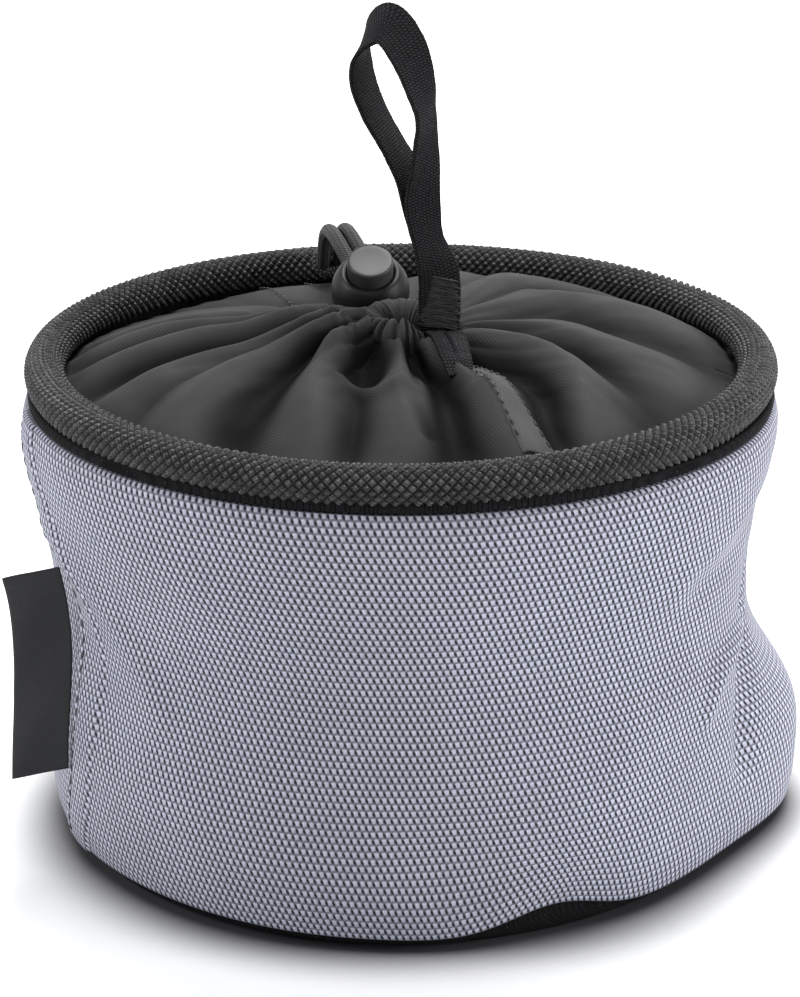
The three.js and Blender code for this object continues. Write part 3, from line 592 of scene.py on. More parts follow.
def dome_height(share, azimuth):
    middle = math.sin(math.pi * share)
    hollow = 4 * bell(turn_between(azimuth, 120), 40)
    swell = 1.5 * bell(turn_between(azimuth, 48), 34)
    return RIM_Z - 6.5 + 15.5 * (1 - share ** 3.1) + (swell - hollow) * middle


# Slow and fine creases of the cover: size of the noise, its start, its stretch and its height
COVER_CREASES = ((3.4, 0, 1.3, 1.3), (7.5, 5, 2.2, 0.8), (16, 9, 5, 0.3))


def cover_form(r, azimuth, x, y, share, sizes):
    """Height of the cover's folds, pleats and creases over its dome."""
    folds = fold_form(r, azimuth) * read_line(COVER_STRENGTH, share) * sizes.fold_depth
    pleats = (pleat_form(azimuth, sizes.cover_pleats) - 0.5) * sizes.pleat_depth / MM
    pleats *= read_line(PLEAT_STRENGTH, share)
    marks = sum(mark_height(x, y, *mark) for mark in COVER_MARKS)
    gather = 0.35 * ease(share, 0.86, 0.97) * cosine(azimuth * 64 + 50 * math.sin(azimuth * 0.11))
    creases = sum(noise.noise(polar(size, azimuth, start + share * stretch)) * height
                  for size, start, stretch, height in COVER_CREASES)
    creases *= math.sin(math.pi * between(share * 1.05, 0, 1)) ** 0.6
    creases += noise.noise(polar(9, azimuth, share * 34)) * 1.5 * gathered(azimuth) * bell(share, 0.13)
    return folds + pleats + marks * (1 - share ** 4) + gather + creases


def gathered(azimuth):
    """Where the gathers lie over the tunnel: at the left of the mouth."""
    return bell(turn_between(azimuth, 186), 54, 3)


def cover_climb(azimuth, share):
    """Rise of the gathers over the tunnel, at the left most of all."""
    left, front = gathered(azimuth), bell(turn_between(azimuth, -92), 42)
    return (0.6 + 5.4 * left + 1.8 * front) * (1 - ease(share, 0.02, 0.2 + 0.2 * left))


def cover_height(r, azimuth, x, y, share, sizes):
    """Top of the cover at a place, with its folds and the dips under the ball and the knot."""
    high = dome_height(share, azimuth) + cover_climb(azimuth, share)
    seat = bell(math.hypot(x - LOCK.x, y - LOCK.y), BALL_R * 1.45)
    knot = bell(math.hypot(x - KNOT.x, y - KNOT.y), 11.6)
    form = cover_form(r, azimuth, x, y, share, sizes)
    top = high + form * (1 - seat) * (1 - knot) + (rim_level(azimuth) - RIM_Z) * ease(share, 0.55, 1)
    return top - max(0.0, top + 0.4 - (LOCK.z - BALL_R)) * seat


def cover_top(x, y, sizes, lift=0.0):
    """A point on the cover, or lifted over it, at a place in plan."""
    r, azimuth, share = about_mouth(x, y)
    return Vector((x, y, cover_height(r, azimuth, x, y, share, sizes) + lift))


def across_line(line, v):
    """A place on a line of (x, y, width), and the direction across it in plan."""
    ahead = smooth_run(line, min(1, v + 0.01)) - smooth_run(line, max(0, v - 0.01))
    return smooth_run(line, v), Vector((ahead.y, -ahead.x, 0)).normalized()


# The lock's own axes, as in the frame
LOCK_TURN = Matrix.Rotation(math.radians(28.6), 3, "X") @ Matrix.Rotation(math.radians(17.7), 3, "Z")
SPACING = LOCK_TURN @ Vector((1, 0, 0))
RUN_OUT = LOCK_TURN @ Vector((0, 1, 0))
LEVEL = Vector((RUN_OUT.x, RUN_OUT.y, 0)).normalized()
SIDEWAYS = Vector((LEVEL.y, -LEVEL.x, 0))
LOCK = MOUTH + LEVEL * TUNNEL_RING_R + RUN_OUT * (6.6 + BALL_R)
LOOP_FOOT = MOUTH + polar(TUNNEL_RING_R, -16, TUNNEL_R + 0.4)
KNOT = Vector(TAIL_ROUTE[-1])
KNOT_WAY = (KNOT - Vector(TAIL_ROUTE[-2])).normalized()


def strand_point(side, along):
    return LOCK + RUN_OUT * along + SPACING * side


def tail_points(side):
    """The middle line of one free end, from inside the lock to the knot."""
    across = squared(SPACING, KNOT_WAY)
    offset = Vector((SPACING.x, SPACING.y, 0)).normalized() * side
    route = [strand_point(side, along) for along in (3.0, BALL_R / 2, BALL_R)]
    route += [Vector(point) + offset for point in TAIL_ROUTE[:-2]]
    route += [KNOT - KNOT_WAY * (k * CORD_R) + across * side for k in (2, 1, 0)]
    return [smooth_run(route, i / 96) for i in range(97)]


# Finishes


class Signal:
    """A value that changes over a surface. Each sum or function of it puts one Math node on its bench."""

    def __init__(self, bench, socket):
        self.bench, self.socket = bench, socket

    def calc(self, operation, *values):
        return self.bench.calc(operation, self, *values)

    def __add__(self, other):
        return self.calc("ADD", other)

    def __sub__(self, other):
        return self.calc("SUBTRACT", other)

    def __rsub__(self, other):
        return self.bench.calc("SUBTRACT", other, self)

    def __mul__(self, other):
        return self.calc("MULTIPLY", other)

    def __truediv__(self, other):
        return self.calc("DIVIDE", other)

    def __mod__(self, other):
        return self.calc("MODULO", other)

    def __pow__(self, other):
        return self.calc("POWER", other)

    def __abs__(self):
        return self.calc("ABSOLUTE")

    def floor(self):
        return self.calc("FLOOR")

    def fract(self):
        return self.calc("FRACT")

    def wave(self):
        """A cosine of whole turns, from 0 to 1, highest at whole numbers."""
        return (self * TURN).calc("COSINE") * 0.5 + 0.5

    def span(self, low, high):
        """Eases from 0 at low to 1 at high."""
        return self.bench.add("ShaderNodeMapRange", self, low, high, interpolation_type="SMOOTHSTEP")


class Bench:
    """Puts nodes into one tree. An input takes a number, a colour, a socket or a Signal."""

    def __init__(self, tree):
        self.tree = tree

    def put(self, kind, **settings):
        node = self.tree.nodes.new(kind)
        for name, value in settings.items():
            setattr(node, name, value)
        return node

    def feed(self, socket, value):
        value = getattr(value, "socket", value)
        if isinstance(value, bpy.types.NodeSocket):
            self.tree.links.new(value, socket)
        else:
            socket.default_value = value

    def add(self, kind, *values, out=0, **settings):
        """Puts a node, feeds its first inputs in order and gives one of its outputs."""
        node = self.put(kind, **settings)
        for socket, value in zip(node.inputs, values):
            self.feed(socket, value)
        return Signal(self, node.outputs[out])

    def calc(self, operation, *values):
        return self.add("ShaderNodeMath", *values, operation=operation)

    def tint(self, share, low, high, mode="MIX"):
        node = self.put("ShaderNodeMix", data_type="RGBA", blend_type=mode)
        for i, value in ((0, share), (6, low), (7, high)):
            self.feed(node.inputs[i], value)
        return Signal(self, node.outputs[2])

    def toned(self, tone, colour):
        """Multiplies a colour by a tone that changes over the surface."""
        return self.tint(1.0, colour, self.add("ShaderNodeCombineColor", tone, tone, tone), "MULTIPLY")

    def cloud(self, place, scale, detail=2.0, rough=0.5):
        node = self.put("ShaderNodeTexNoise")
        for name, value in (("Vector", place), ("Scale", scale), ("Detail", detail), ("Roughness", rough)):
            self.feed(node.inputs[name], value)
        return Signal(self, node.outputs["Fac"])

    def split(self, vector):
        node = self.put("ShaderNodeSeparateXYZ")
        self.feed(node.inputs[0], vector)
        return [Signal(self, socket) for socket in node.outputs]

    def stretch_z(self, vector, z):
        node = self.put("ShaderNodeMapping")
        self.feed(node.inputs["Vector"], vector)
        node.inputs["Scale"].default_value = (1, 1, z)
        return Signal(self, node.outputs[0])

    def by_cell(self, a, b):
        """A value of its own for each cell."""
        cell = self.add("ShaderNodeCombineXYZ", a, b)
        return self.add("ShaderNodeTexWhiteNoise", cell, out="Value", noise_dimensions="2D")

    def seen(self):
        """1 on camera, glossy and transmission rays, and 0 on the rays that light the bag."""
        rays = self.put("ShaderNodeLightPath").outputs
        mirrored = self.calc("MAXIMUM", rays["Is Glossy Ray"], rays["Is Transmission Ray"])
        return self.calc("MAXIMUM", rays["Is Camera Ray"], mirrored)


def shade(colour, factor=1.0):
    return tuple(channel * factor for channel in colour) + (1.0,)


def draw_basket(bench, chart, pitch, rise, lean):
    """Pale floats in rows set half a step apart, with a dark gap at the end of each; each float carries
    painted light towards its upper left and painted shade towards its lower right.
    """
    x, y, _ = bench.split(chart)
    rows = y / rise
    row = rows.floor()
    drift = (bench.cloud(chart, 46, 1) - 0.5) * 0.5
    along = x / pitch + (row % 2.0 * 0.5 + drift)
    across, up = along.fract() - 0.5, rows.fract() - 0.5
    gap = 1.0 - (abs((across + up * lean) / 0.3) + abs((up + 0.1) / 0.6)).span(0.5, 1.1)
    aside = (along + 0.5 + up * 0.14).fract() - 0.5
    square = (abs(aside / 0.35) ** 3.0 + abs(up / 0.4) ** 3.0) * (bench.cloud(chart, 70, 2) * 0.6 + 0.7)
    block = 1.0 - square.span(0.2, 1.4)
    thread = ((x + y * 0.3) / (pitch * 0.25)).wave()
    # Painted light on each float: lighter up and to the left, darker down and to the right, as if lit from
    # the upper left.
    lit_float = block * ((up - aside) * 0.42 + 0.86 + (thread - 0.5) * 0.12)
    height = (1.0 - gap) * (block * 0.7 + 0.3) + thread * 0.05
    return height, gap, lit_float, bench.by_cell(along.floor(), row)


def draw_plain(bench, chart, pitch):
    """A fine plain weave: over and under in both directions."""
    x, y, _ = bench.split(chart)
    a, b = x / pitch, y / pitch
    height = a.wave() * b.wave() + (a + 0.5).wave() * (b + 0.5).wave()
    return height, height.span(0.5, 0.1)


def draw_ribs(bench, chart, pitch, width, slant):
    """Ribs across a length of cord or webbing, broken up along its width."""
    x, y, _ = bench.split(chart)
    column = x / width
    along = y / pitch + column * slant + column.floor() * 0.5
    groove = abs(column.fract() - 0.5).span(0.34, 0.5)
    return along.wave() ** 0.6 * (1.0 - groove * 0.8), groove


def draw_braid(bench, chart, yarns, twist):
    """Knuckles of a one-over-one braid, charted by its two runs of strands, with the yarns of each strand."""
    a, b, _ = bench.split(chart)
    b = b + 1000.0
    cell_a, cell_b = a.floor(), b.floor()
    turn = (cell_a + cell_b) % 2.0
    far_a, far_b = a - cell_a - 0.5, b - cell_b - 0.5
    across, along = far_b + turn * (far_a - far_b), far_a + turn * (far_b - far_a)
    pillow = (1.0 - abs(across * 2.0) ** 2.4) * abs((along * math.pi).calc("COSINE")) ** 0.6
    yarn = (across * yarns + along * twist).wave()
    return pillow * (yarn * 0.28 + 0.72), pillow.span(0.5, 0.0), yarn, bench.by_cell(cell_a, cell_b)


def draw_wear(bench, place, strength):
    """Slow changes of tone over a piece, with a little fine dust."""
    slow, fine = bench.cloud(place, 18, 3) - 0.5, bench.cloud(place, 420, 2, 0.7) - 0.5
    specks = bench.cloud(place, 1500, 1).span(0.68, 0.8)
    return (slow * 0.7 + fine * 0.5) * strength + 1.0, specks * strength


def draw_grain(bench, place, scale):
    """The fine grain of moulded plastic."""
    return bench.cloud(place, scale, 3), bench.cloud(bench.stretch_z(place, 3), 60, 2)


# Each effect: how it is drawn, the name of its place, its numbers and what it puts out
EFFECTS = {
    "Basket weave": (draw_basket, "Chart", {"Pitch": 0.0016, "Row rise": 0.0016, "Lean": 0.2},
                     ("Height", "Gap", "Lit float", "Each")),
    "Plain weave": (draw_plain, "Chart", {"Pitch": 0.0005}, ("Height", "Gap")),
    "Cord ribs": (draw_ribs, "Chart", {"Pitch": 0.001, "Yarn width": 0.001, "Slant": 0.0},
                  ("Height", "Groove")),
    "Braid": (draw_braid, "Chart", {"Yarns": 3.0, "Twist": 0.8}, ("Height", "Groove", "Yarn", "Each")),
    "Cloth wear": (draw_wear, "Place", {"Strength": 0.3}, ("Tone", "Dust")),
    "Moulded grain": (draw_grain, "Place", {"Scale": 900.0}, ("Height", "Smear")),
}


def effect_group(name):
    """The shader node group of an effect, made at its first use with named sockets."""
    if name in bpy.data.node_groups:
        return bpy.data.node_groups[name]
    draw, place, numbers, outputs = EFFECTS[name]
    group = bpy.data.node_groups.new(name, "ShaderNodeTree")
    group.interface.new_socket(place, in_out="INPUT", socket_type="NodeSocketVector")
    for label, value in numbers.items():
        group.interface.new_socket(label, in_out="INPUT", socket_type="NodeSocketFloat").default_value = value
    for label in outputs:
        group.interface.new_socket(label, in_out="OUTPUT", socket_type="NodeSocketFloat")
    bench = Bench(group)
    entry, leave = bench.put("NodeGroupInput"), bench.put("NodeGroupOutput")
    given = [Signal(bench, entry.outputs[label]) for label in (place, *numbers)]
    for socket, value in zip(leave.inputs, draw(bench, *given)):
        bench.feed(socket, value)
    return group


class Finish(Bench):
    """The bench of a new material, with its shader and its two kinds of place."""

    def __init__(self, name):
        self.material = bpy.data.materials.new(name)
        self.material.use_nodes = True
        super().__init__(self.material.node_tree)
        self.shader = self.tree.nodes["Principled BSDF"]
        self.place = self.add("ShaderNodeTexCoord", out="Object")
        self.chart = self.add("ShaderNodeUVMap", out="UV", uv_map="UVMap")

    def effect(self, name, *values):
        node = self.put("ShaderNodeGroup", node_tree=effect_group(name))
        for socket, value in zip(node.inputs, values):
            self.feed(socket, value)
        return [Signal(self, socket) for socket in node.outputs]

    def close(self, colour, rough, relief=None, distance=0.0, strength=1.0, **fixed):
        """Feeds the shader its colour, roughness and relief, and sets its fixed inputs."""
        self.feed(self.shader.inputs["Base Color"], colour)
        self.feed(self.shader.inputs["Roughness"], rough)
        for name, value in fixed.items():
            self.shader.inputs[name.replace("_", " ")].default_value = value
        if relief:
            bump = self.put("ShaderNodeBump")
            for name, value in (("Strength", strength), ("Distance", distance), ("Height", relief)):
                self.feed(bump.inputs[name], value)
            self.feed(self.shader.inputs["Normal"], bump.outputs[0])
        return self.material


def grey_weave(colours, pitch):
    made = Finish("Grey basket weave")
    height, gap, lit_float, each = made.effect("Basket weave", made.chart, pitch, pitch * 0.97, 0.35)
    tone, _ = made.effect("Cloth wear", made.place, 0.16)
    # Painted light and shade: the lit side of the floats is painted up to 1.4 times the yarn colour, their
    # shaded side and the borders between them down to 0.4 times.
    body = made.tint(lit_float, shade(colours.wall_float, 0.4), shade(colours.wall_float, 1.4))
    body = made.toned(tone, made.tint(each * 0.22, body, shade(colours.wall_float, 0.6)))
    body = made.tint(gap * 0.93, body, shade(colours.wall_gap))
    return made.close(body, gap * 0.3 + 0.52, height, 0.00028, 0.8, Specular_IOR_Level=0.1)


def black_weave(colours, name, pitch):
    made = Finish(name)
    height, gap = made.effect("Plain weave", made.place, pitch)
    tone, dust = made.effect("Cloth wear", made.place, 0.35)
    body = made.tint(gap, made.toned(tone, shade(colours.base, 1.2)), shade(colours.base, 0.45))
    body = made.tint(dust, body, (0.12, 0.12, 0.12, 1))
    return made.close(body, gap * 0.15 + 0.75, height, 0.00012, 0.7, Specular_IOR_Level=0.03)


def black_braid(colours):
    made = Finish("Black braid")
    height, groove, yarn, each = made.effect("Braid", made.chart, 3.0, 0.7)
    tone, dust = made.effect("Cloth wear", made.place, 0.5)
    # Painted glints: yarn crests of random knuckles are lightened up to 3.6 times the rope colour, standing
    # in for highlights.
    body = made.toned(tone, made.tint(yarn * each ** 1.6, shade(colours.rope, 0.5), shade(colours.rope, 3.6)))
    # Painted shade: the grooves between knuckles are darkened to a tenth of the rope colour. The pale specks
    # are dust.
    body = made.tint(dust, made.tint(groove, body, shade(colours.rope, 0.1)), (0.14, 0.14, 0.14, 1))
    return made.close(body, groove * 0.4 + 0.42, height, 0.0005, 0.9, Specular_IOR_Level=0.35)


def nylon(colours, name, lightness):
    made = Finish(name)
    height, gap = made.effect("Plain weave", made.chart, 0.00048)
    tone, dust = made.effect("Cloth wear", made.place, 0.22)
    x, y, _ = made.split(made.place)
    twill = ((x + y * 0.8) / 0.00075).wave() * made.cloud(made.place, 60, 2).span(0.3, 0.7)
    body = made.toned(tone + (twill - 0.3) * 0.45, shade(colours.cover, lightness))
    body = made.tint(gap * 0.35, body, shade(colours.cover, 0.4 * lightness))
    body = made.tint(dust, body, (0.12, 0.12, 0.12, 1))
    # Painted shade: the cover's colour darkens towards a tenth of itself in the depths of its fold valleys,
    # as the mesh's attribute gives them.
    hollow = made.add("ShaderNodeAttribute", out="Fac", attribute_name="PaintedFoldShade")
    relief = height * 0.25 + (twill * 0.12 + made.cloud(made.place, 160, 2))
    body = made.tint(hollow, body, shade(colours.cover, 0.1))
    return made.close(body, twill * 0.06 + 0.5, relief, 0.00035, 0.35, Specular_IOR_Level=0.02)


def elastic_sheath(colours):
    made = Finish("Elastic cord sheath")
    height, _ = made.effect("Cord ribs", made.chart, 0.00078, TURN * CORD_R * MM / 10, 0.15)
    tone, _ = made.effect("Cloth wear", made.place, 0.3)
    # Painted light and shade: rib crests are lightened up to 2.6 times the cord colour, the grooves between
    # them darkened to 0.12 times.
    body = made.toned(tone, made.tint(height, shade(colours.cord, 0.12), shade(colours.cord, 2.6)))
    return made.close(body, height * -0.15 + 0.6, height, 0.0003, Specular_IOR_Level=0.15)


def black_webbing(colours):
    made = Finish("Black webbing")
    height, _ = made.effect("Cord ribs", made.chart, 0.0007, 0.0010, 0.3)
    fine, _ = made.effect("Plain weave", made.chart, 0.0004)
    tone, dust = made.effect("Cloth wear", made.place, 0.5)
    rough = made.cloud(made.place, 900, 3, 0.7)
    # Painted highlight on the rib crests, up to 4.2 times the webbing colour, with painted shade at half the
    # colour between them.
    body = made.tint(height * (rough + 0.3), shade(colours.webbing, 0.5), shade(colours.webbing, 4.2))
    body = made.tint(dust, made.toned(tone, body), (0.1, 0.1, 0.1, 1))
    return made.close(body, height * -0.1 + 0.68, height * 0.6 + (fine * 0.2 + rough), 0.0005, 0.9,
                      Specular_IOR_Level=0.04)


def dark_ribbon(colours):
    made = Finish("Label ribbon")
    _, y, _ = made.split(made.chart)
    rib = (y / 0.00045).wave()
    height, _ = made.effect("Plain weave", made.chart, 0.00042)
    tone, dust = made.effect("Cloth wear", made.place, 0.25)
    body = made.toned(tone, made.tint(rib, shade(colours.label, 0.8), shade(colours.label, 1.12)))
    body = made.tint(dust, body, (0.1, 0.1, 0.1, 1))
    return made.close(body, rib * 0.08 + 0.5, height + rib, 0.00006, 0.7, Specular_IOR_Level=0.1)


def moulded_plastic(name, colour, rough, painted_highlight=0.0):
    """Moulded plastic; where asked, a painted highlight lightens it towards the front right of the lock."""
    made = Finish(name)
    grain, smear = made.effect("Moulded grain", made.place, 2600.0)
    body = made.tint(smear.span(0.3, 0.75), shade(colour, 0.9), shade(colour, 1.12))
    # Painted highlight: the colour grows lighter across the lock towards its front right, up to three times,
    # standing in for a lamp's reflection.
    x, y, _ = made.split(made.place)
    slope = x - y * 0.7 - (LOCK.x - 0.7 * LOCK.y) * MM
    body = made.tint(slope.span(-0.003, 0.007) * painted_highlight, body, shade(colour, 3.0))
    return made.close(body, smear * 0.14 + rough, grain, 0.00004, 0.35, Specular_IOR_Level=0.2)


def drawn_wire():
    made = Finish("Drawn spring wire")
    grain, smear = made.effect("Moulded grain", made.place, 1800.0)
    body = made.tint(smear, (0.5, 0.5, 0.51, 1), (0.62, 0.62, 0.63, 1))
    return made.close(body, smear * 0.15 + 0.22, grain, 0.00001, 0.3, Metallic=1.0)


def sewing_thread(name, colour):
    made = Finish(name)
    strand = (made.cloud(made.stretch_z(made.place, 2), 900, 2) * 3.0).wave()
    body = made.tint(strand, shade(colour, 0.5), shade(colour, 1.4))
    return made.close(body, strand * 0.1 + 0.55, strand, 0.00006, 0.8)


def pale_floor(colours):
    """Floor that keeps the bag's shadow, darkened further by a painted contact shadow where the bag shuts it
    in; what the camera sees of its lit part is white.
    """
    made = Finish("Pale floor")
    cloud, seen = made.cloud(made.place, 6, 2), made.seen()
    body = made.tint(cloud, shade(colours.floor, 0.99), shade(colours.floor, 1.01))
    # Painted shadow: ambient occlusion darkens what the camera sees of the floor towards dark grey near the
    # bag, and dims its emission there.
    near = made.put("ShaderNodeAmbientOcclusion", samples=32)
    near.inputs["Distance"].default_value = 0.02
    outside_painted_shadow = Signal(made, near.outputs["AO"]).span(0.3, 1.0)
    made.feed(made.shader.inputs["Emission Strength"], seen * outside_painted_shadow * 0.38)
    body = made.tint(seen, body, made.tint(outside_painted_shadow, (0.09, 0.09, 0.1, 1), (1, 1, 1, 1)))
    return made.close(body, cloud * 0.1 + 0.8, Specular_IOR_Level=0.0, Emission_Color=(1, 1, 1, 1))


FINISHES = {}


def finish_of(name):
    """The finish by its plain name, made at its first use."""
    if name not in FINISHES:
        colours, sizes = bpy.context.scene.peg_bag_colours, bpy.context.scene.peg_bag_sizes
        FINISHES[name] = {
            "wall": lambda: grey_weave(colours, sizes.weave_pitch),
            "base": lambda: black_weave(colours, "Black plain weave", 0.0007),
            "binding": lambda: black_weave(colours, "Binding tape", 0.0009),
            "rope": lambda: black_braid(colours),
            "cover": lambda: nylon(colours, "Cover nylon", 1.0),
            # The seam strip's nylon is 1.6 times as light as the cover's.
            "seam": lambda: nylon(colours, "Lighter seam nylon", 1.6),
            "cord": lambda: elastic_sheath(colours),
            "webbing": lambda: black_webbing(colours),
            "label": lambda: dark_ribbon(colours),
            "plastic": lambda: moulded_plastic("Black moulded plastic", colours.plastic, 0.36),
            # On the button, 0.8 sets the strength of its painted highlight.
            "button": lambda: moulded_plastic("Button plastic", colours.button, 0.34, 0.8),
            "wire": drawn_wire,
            "thread": lambda: sewing_thread("Black thread", (0.02, 0.02, 0.022)),
            "tack": lambda: sewing_thread("Tack thread", (0.013, 0.013, 0.014)),
            "wall thread": lambda: sewing_thread("Wall thread", (0.05, 0.05, 0.06)),
            "floor": lambda: pale_floor(colours),
        }[name]()
    return FINISHES[name]


# Operators, in the order in which they run

# Each lamp: its place, the height that it points at, its size and its power
LAMPS = (
    ("Overhead lamp", (0.1, 0.42, 1.25), 0.06, 0.55, 15.5),
    ("Left lamp", (-1.15, -0.2, 0.62), 0.06, 0.5, 6.6),
    ("Right lamp", (1.2, -0.3, 0.36), 0.05, 0.5, 8.6),
    ("Rear lamp", (0.3, 1.1, 0.8), 0.1, 0.6, 4.0),
)


class SCENE_OT_peg_bag_stage(Operator):
    """Lays the pale floor, sets the soft studio light and points the camera as the photograph does"""

    bl_idname = "peg_bag.stage"
    bl_label = "Floor, light and camera"

    def execute(self, context):
        scene = context.scene
        scene.view_settings.view_transform = "Standard"
        lens = bpy.data.cameras.new("Front camera")
        lens.sensor_fit = "HORIZONTAL"
        lens.sensor_width = 36
        lens.lens = 153
        lens.shift_x = -1 / 800
        scene.camera = put_object("Front camera", lens, (0, -0.763, 0.3536), (math.radians(70.17), 0, 0))

        bm = bmesh.new()
        bmesh.ops.create_grid(bm, x_segments=8, y_segments=8, size=6)
        bmesh.ops.translate(bm, verts=bm.verts, vec=(0, 0, -0.0003))
        floor = put_mesh("floor", bm)
        floor.data.materials.append(finish_of("floor"))

        for name, place, height, size, power in LAMPS:
            lamp = bpy.data.lights.new(name, "AREA")
            lamp.shape = "SQUARE"
            lamp.size = size
            lamp.energy = power
            aim = Vector((0, 0, height)) - Vector(place)
            put_object(name, lamp, place, aim.to_track_quat("-Z", "Y").to_euler())

        world = bpy.data.worlds.new("Studio")
        world.use_nodes = True
        scene.world = world
        bench = Bench(world.node_tree)
        for node in list(world.node_tree.nodes):
            world.node_tree.nodes.remove(node)
        light = bench.add("ShaderNodeBackground", (0.96, 0.98, 1.0, 1), 0.3)
        white = bench.add("ShaderNodeBackground", (1, 1, 1, 1))
        mixed = bench.add("ShaderNodeMixShader", bench.seen(), light, white)
        bench.feed(bench.put("ShaderNodeOutputWorld").inputs[0], mixed)
        return {"FINISHED"}


class MESH_OT_peg_bag_tails(Operator):
    """Lays the two free ends of the elastic and the knot that holds them"""

    bl_idname = "peg_bag.tails"
    bl_label = "Cord tails and knot"

    def execute(self, context):
        tails = []
        for side, name in ((-STRAND_X, "cord_tail_left"), (STRAND_X, "cord_tail_right")):
            bm, points = bmesh.new(), tail_points(side)
            lay_tube(bm, points, CORD_R, 30)
            piece = place_piece(bm, name + "_elastic", "cord", "cord_lock", (name,))
            tails.append((piece, points, strand_point(side, BALL_R)))

        side = KNOT_WAY.cross(Vector((0, 0, 1))).normalized()
        up = side.cross(KNOT_WAY)
        middle = KNOT + KNOT_WAY * 4.4
        wound = []
        for share in (i / 132 for i in range(133)):
            angle = TURN * 2.25 * share
            reach = 2.75 + 0.18 * math.sin(angle * 2)
            wound.append(middle + KNOT_WAY * (-2.4 + 4.8 * share + 0.5 * math.sin(angle))
                         + side * (reach * math.cos(angle)) + up * (reach * math.sin(angle)))
        bm = bmesh.new()
        lay_tube(bm, wound, CORD_R, 24, KNOT_RIBS)
        for offset in (-1.2, 1.2):
            core = [middle + side * offset + KNOT_WAY * (-3.6 + k * 1.05) for k in range(12)]
            lay_tube(bm, core, CORD_R * 0.72, 20, KNOT_RIBS)
        knot = place_piece(bm, "tail_knot", "cord", "cord_lock", ("cord_knot",))
        for i, (piece, points, leave) in enumerate(tails):
            leave * MM
            run_lengths(points)[-1] * MM
            [point * MM for point in points]
            [knot] if i == 0 else []
        return {"FINISHED"}


class MESH_OT_peg_bag_wall(Operator):
    """Lays the woven wall with its turned-in hem, its sags and folds, and its lapped side seam"""

    bl_idname = "peg_bag.wall"
    bl_label = "Woven wall"

    def execute(self, context):
        sizes = context.scene.peg_bag_sizes
        bend = 0.7
        outline = [(0.0, WALL_FOOT + (WALL_TOP - bend - WALL_FOOT) * i / 74) for i in range(75)]
        outline += [(WALL_PLY * (1 - math.cos(a)), WALL_TOP - bend + bend * math.sin(a))
                    for a in (math.pi * k / 6 for k in range(1, 6))]
        outline += [(WALL_PLY * 2, z) for z in (105.3, 102, 98, 95.4)]
        outline += [(WALL_PLY * 1.7, 95), (WALL_PLY, 95.2)]
        outline += [(WALL_PLY, 94 - 87.4 * i / 26) for i in range(27)]
        outline += [(WALL_PLY * 0.6, 5.9)]
        last = len(outline)
        run = run_lengths([Vector(point) for point in outline + outline[:1]])
        around = round(TURN * 84.6 / (sizes.weave_pitch / MM)) * sizes.weave_pitch

        def place(u, v):
            inset, z = outline[round(v * last) % last]
            return wall_point(u * 360 + 25, z, inset)

        bm = bmesh.new()
        lay_sheet(bm, 420, last, place, lambda u, v: (u * around, run[round(v * last)] * MM))
        place_piece(bm, "woven_wall", "wall", "bag", ("outer_wall",))

        row = []
        for z in (8.5 + i * 94.5 / 139 for i in range(140)):
            seam = read_line(SEAM_LEAN, z)
            row.append(wall_point(seam + 1.6, z, 0) + polar(0.12, seam, 0))
        bm = bmesh.new()
        sew_row(bm, row, sizes.stitch_length / MM, 1.5, 0.28)
        place_piece(bm, "side_seam_stitches", "wall thread", "bag")
        return {"FINISHED"}


class MESH_OT_peg_bag_base(Operator):
    """Turns the base dish that is sewn inside the wall's foot, with its tape"""

    bl_idname = "peg_bag.base"
    bl_label = "Base and its tape"

    def execute(self, context):
        def turned(name, outline, finish, node, gap=0.0, ring=False):
            """Turns an outline, moves it by the bag's sags and places it."""
            bm = bmesh.new()
            turn_profile(bm, outline, 192, ring)
            for vert in bm.verts:
                x, y, z = vert.co / MM
                r, azimuth = math.hypot(x, y), math.degrees(math.atan2(y, x))
                out, up = sag(r + gap, azimuth, z)
                vert.co = polar(out - gap, azimuth, up) * MM
            place_piece(bm, name, finish, "bag", (node,))

        edge = [(wall_radius(z) - 1.85, z) for z in (6, 8.5, 11, 13)]
        rest = WALL_WAIST_R + SHOULDER * WALL_SHARES[0][1] - BASE_ROUND
        turn = edge[0][0] - rest
        outer = [(0, 0)] + [(rest * k / 12, 0) for k in range(1, 13)]
        outer += [(rest + turn * share, z)
                  for share, z in ((0.33, 0.22), (0.6, 0.84), (0.85, 1.9), (1.02, 3.4))]
        outer += edge
        inner = [(r - BASE_PLY, max(z, 0) + (BASE_PLY if z < 3 else 0)) for r, z in reversed(outer[14:])]
        inner += [(rest * k / 12, BASE_PLY) for k in range(12, 0, -1)] + [(0, BASE_PLY)]
        turned("base_dish", outer + inner, "base", "base_panel")

        foot, top = wall_radius(6.3) - 3.25, wall_radius(13.3) - 3.25
        tape = [(foot - 0.8, 6.3), (foot, 6.3), (top, 13.3), (top - 0.8, 13.3)]
        turned("seam_tape", rounded(tape, 0.3), "binding", "base_seam_tape", 1.5, ring=True)
        return {"FINISHED"}


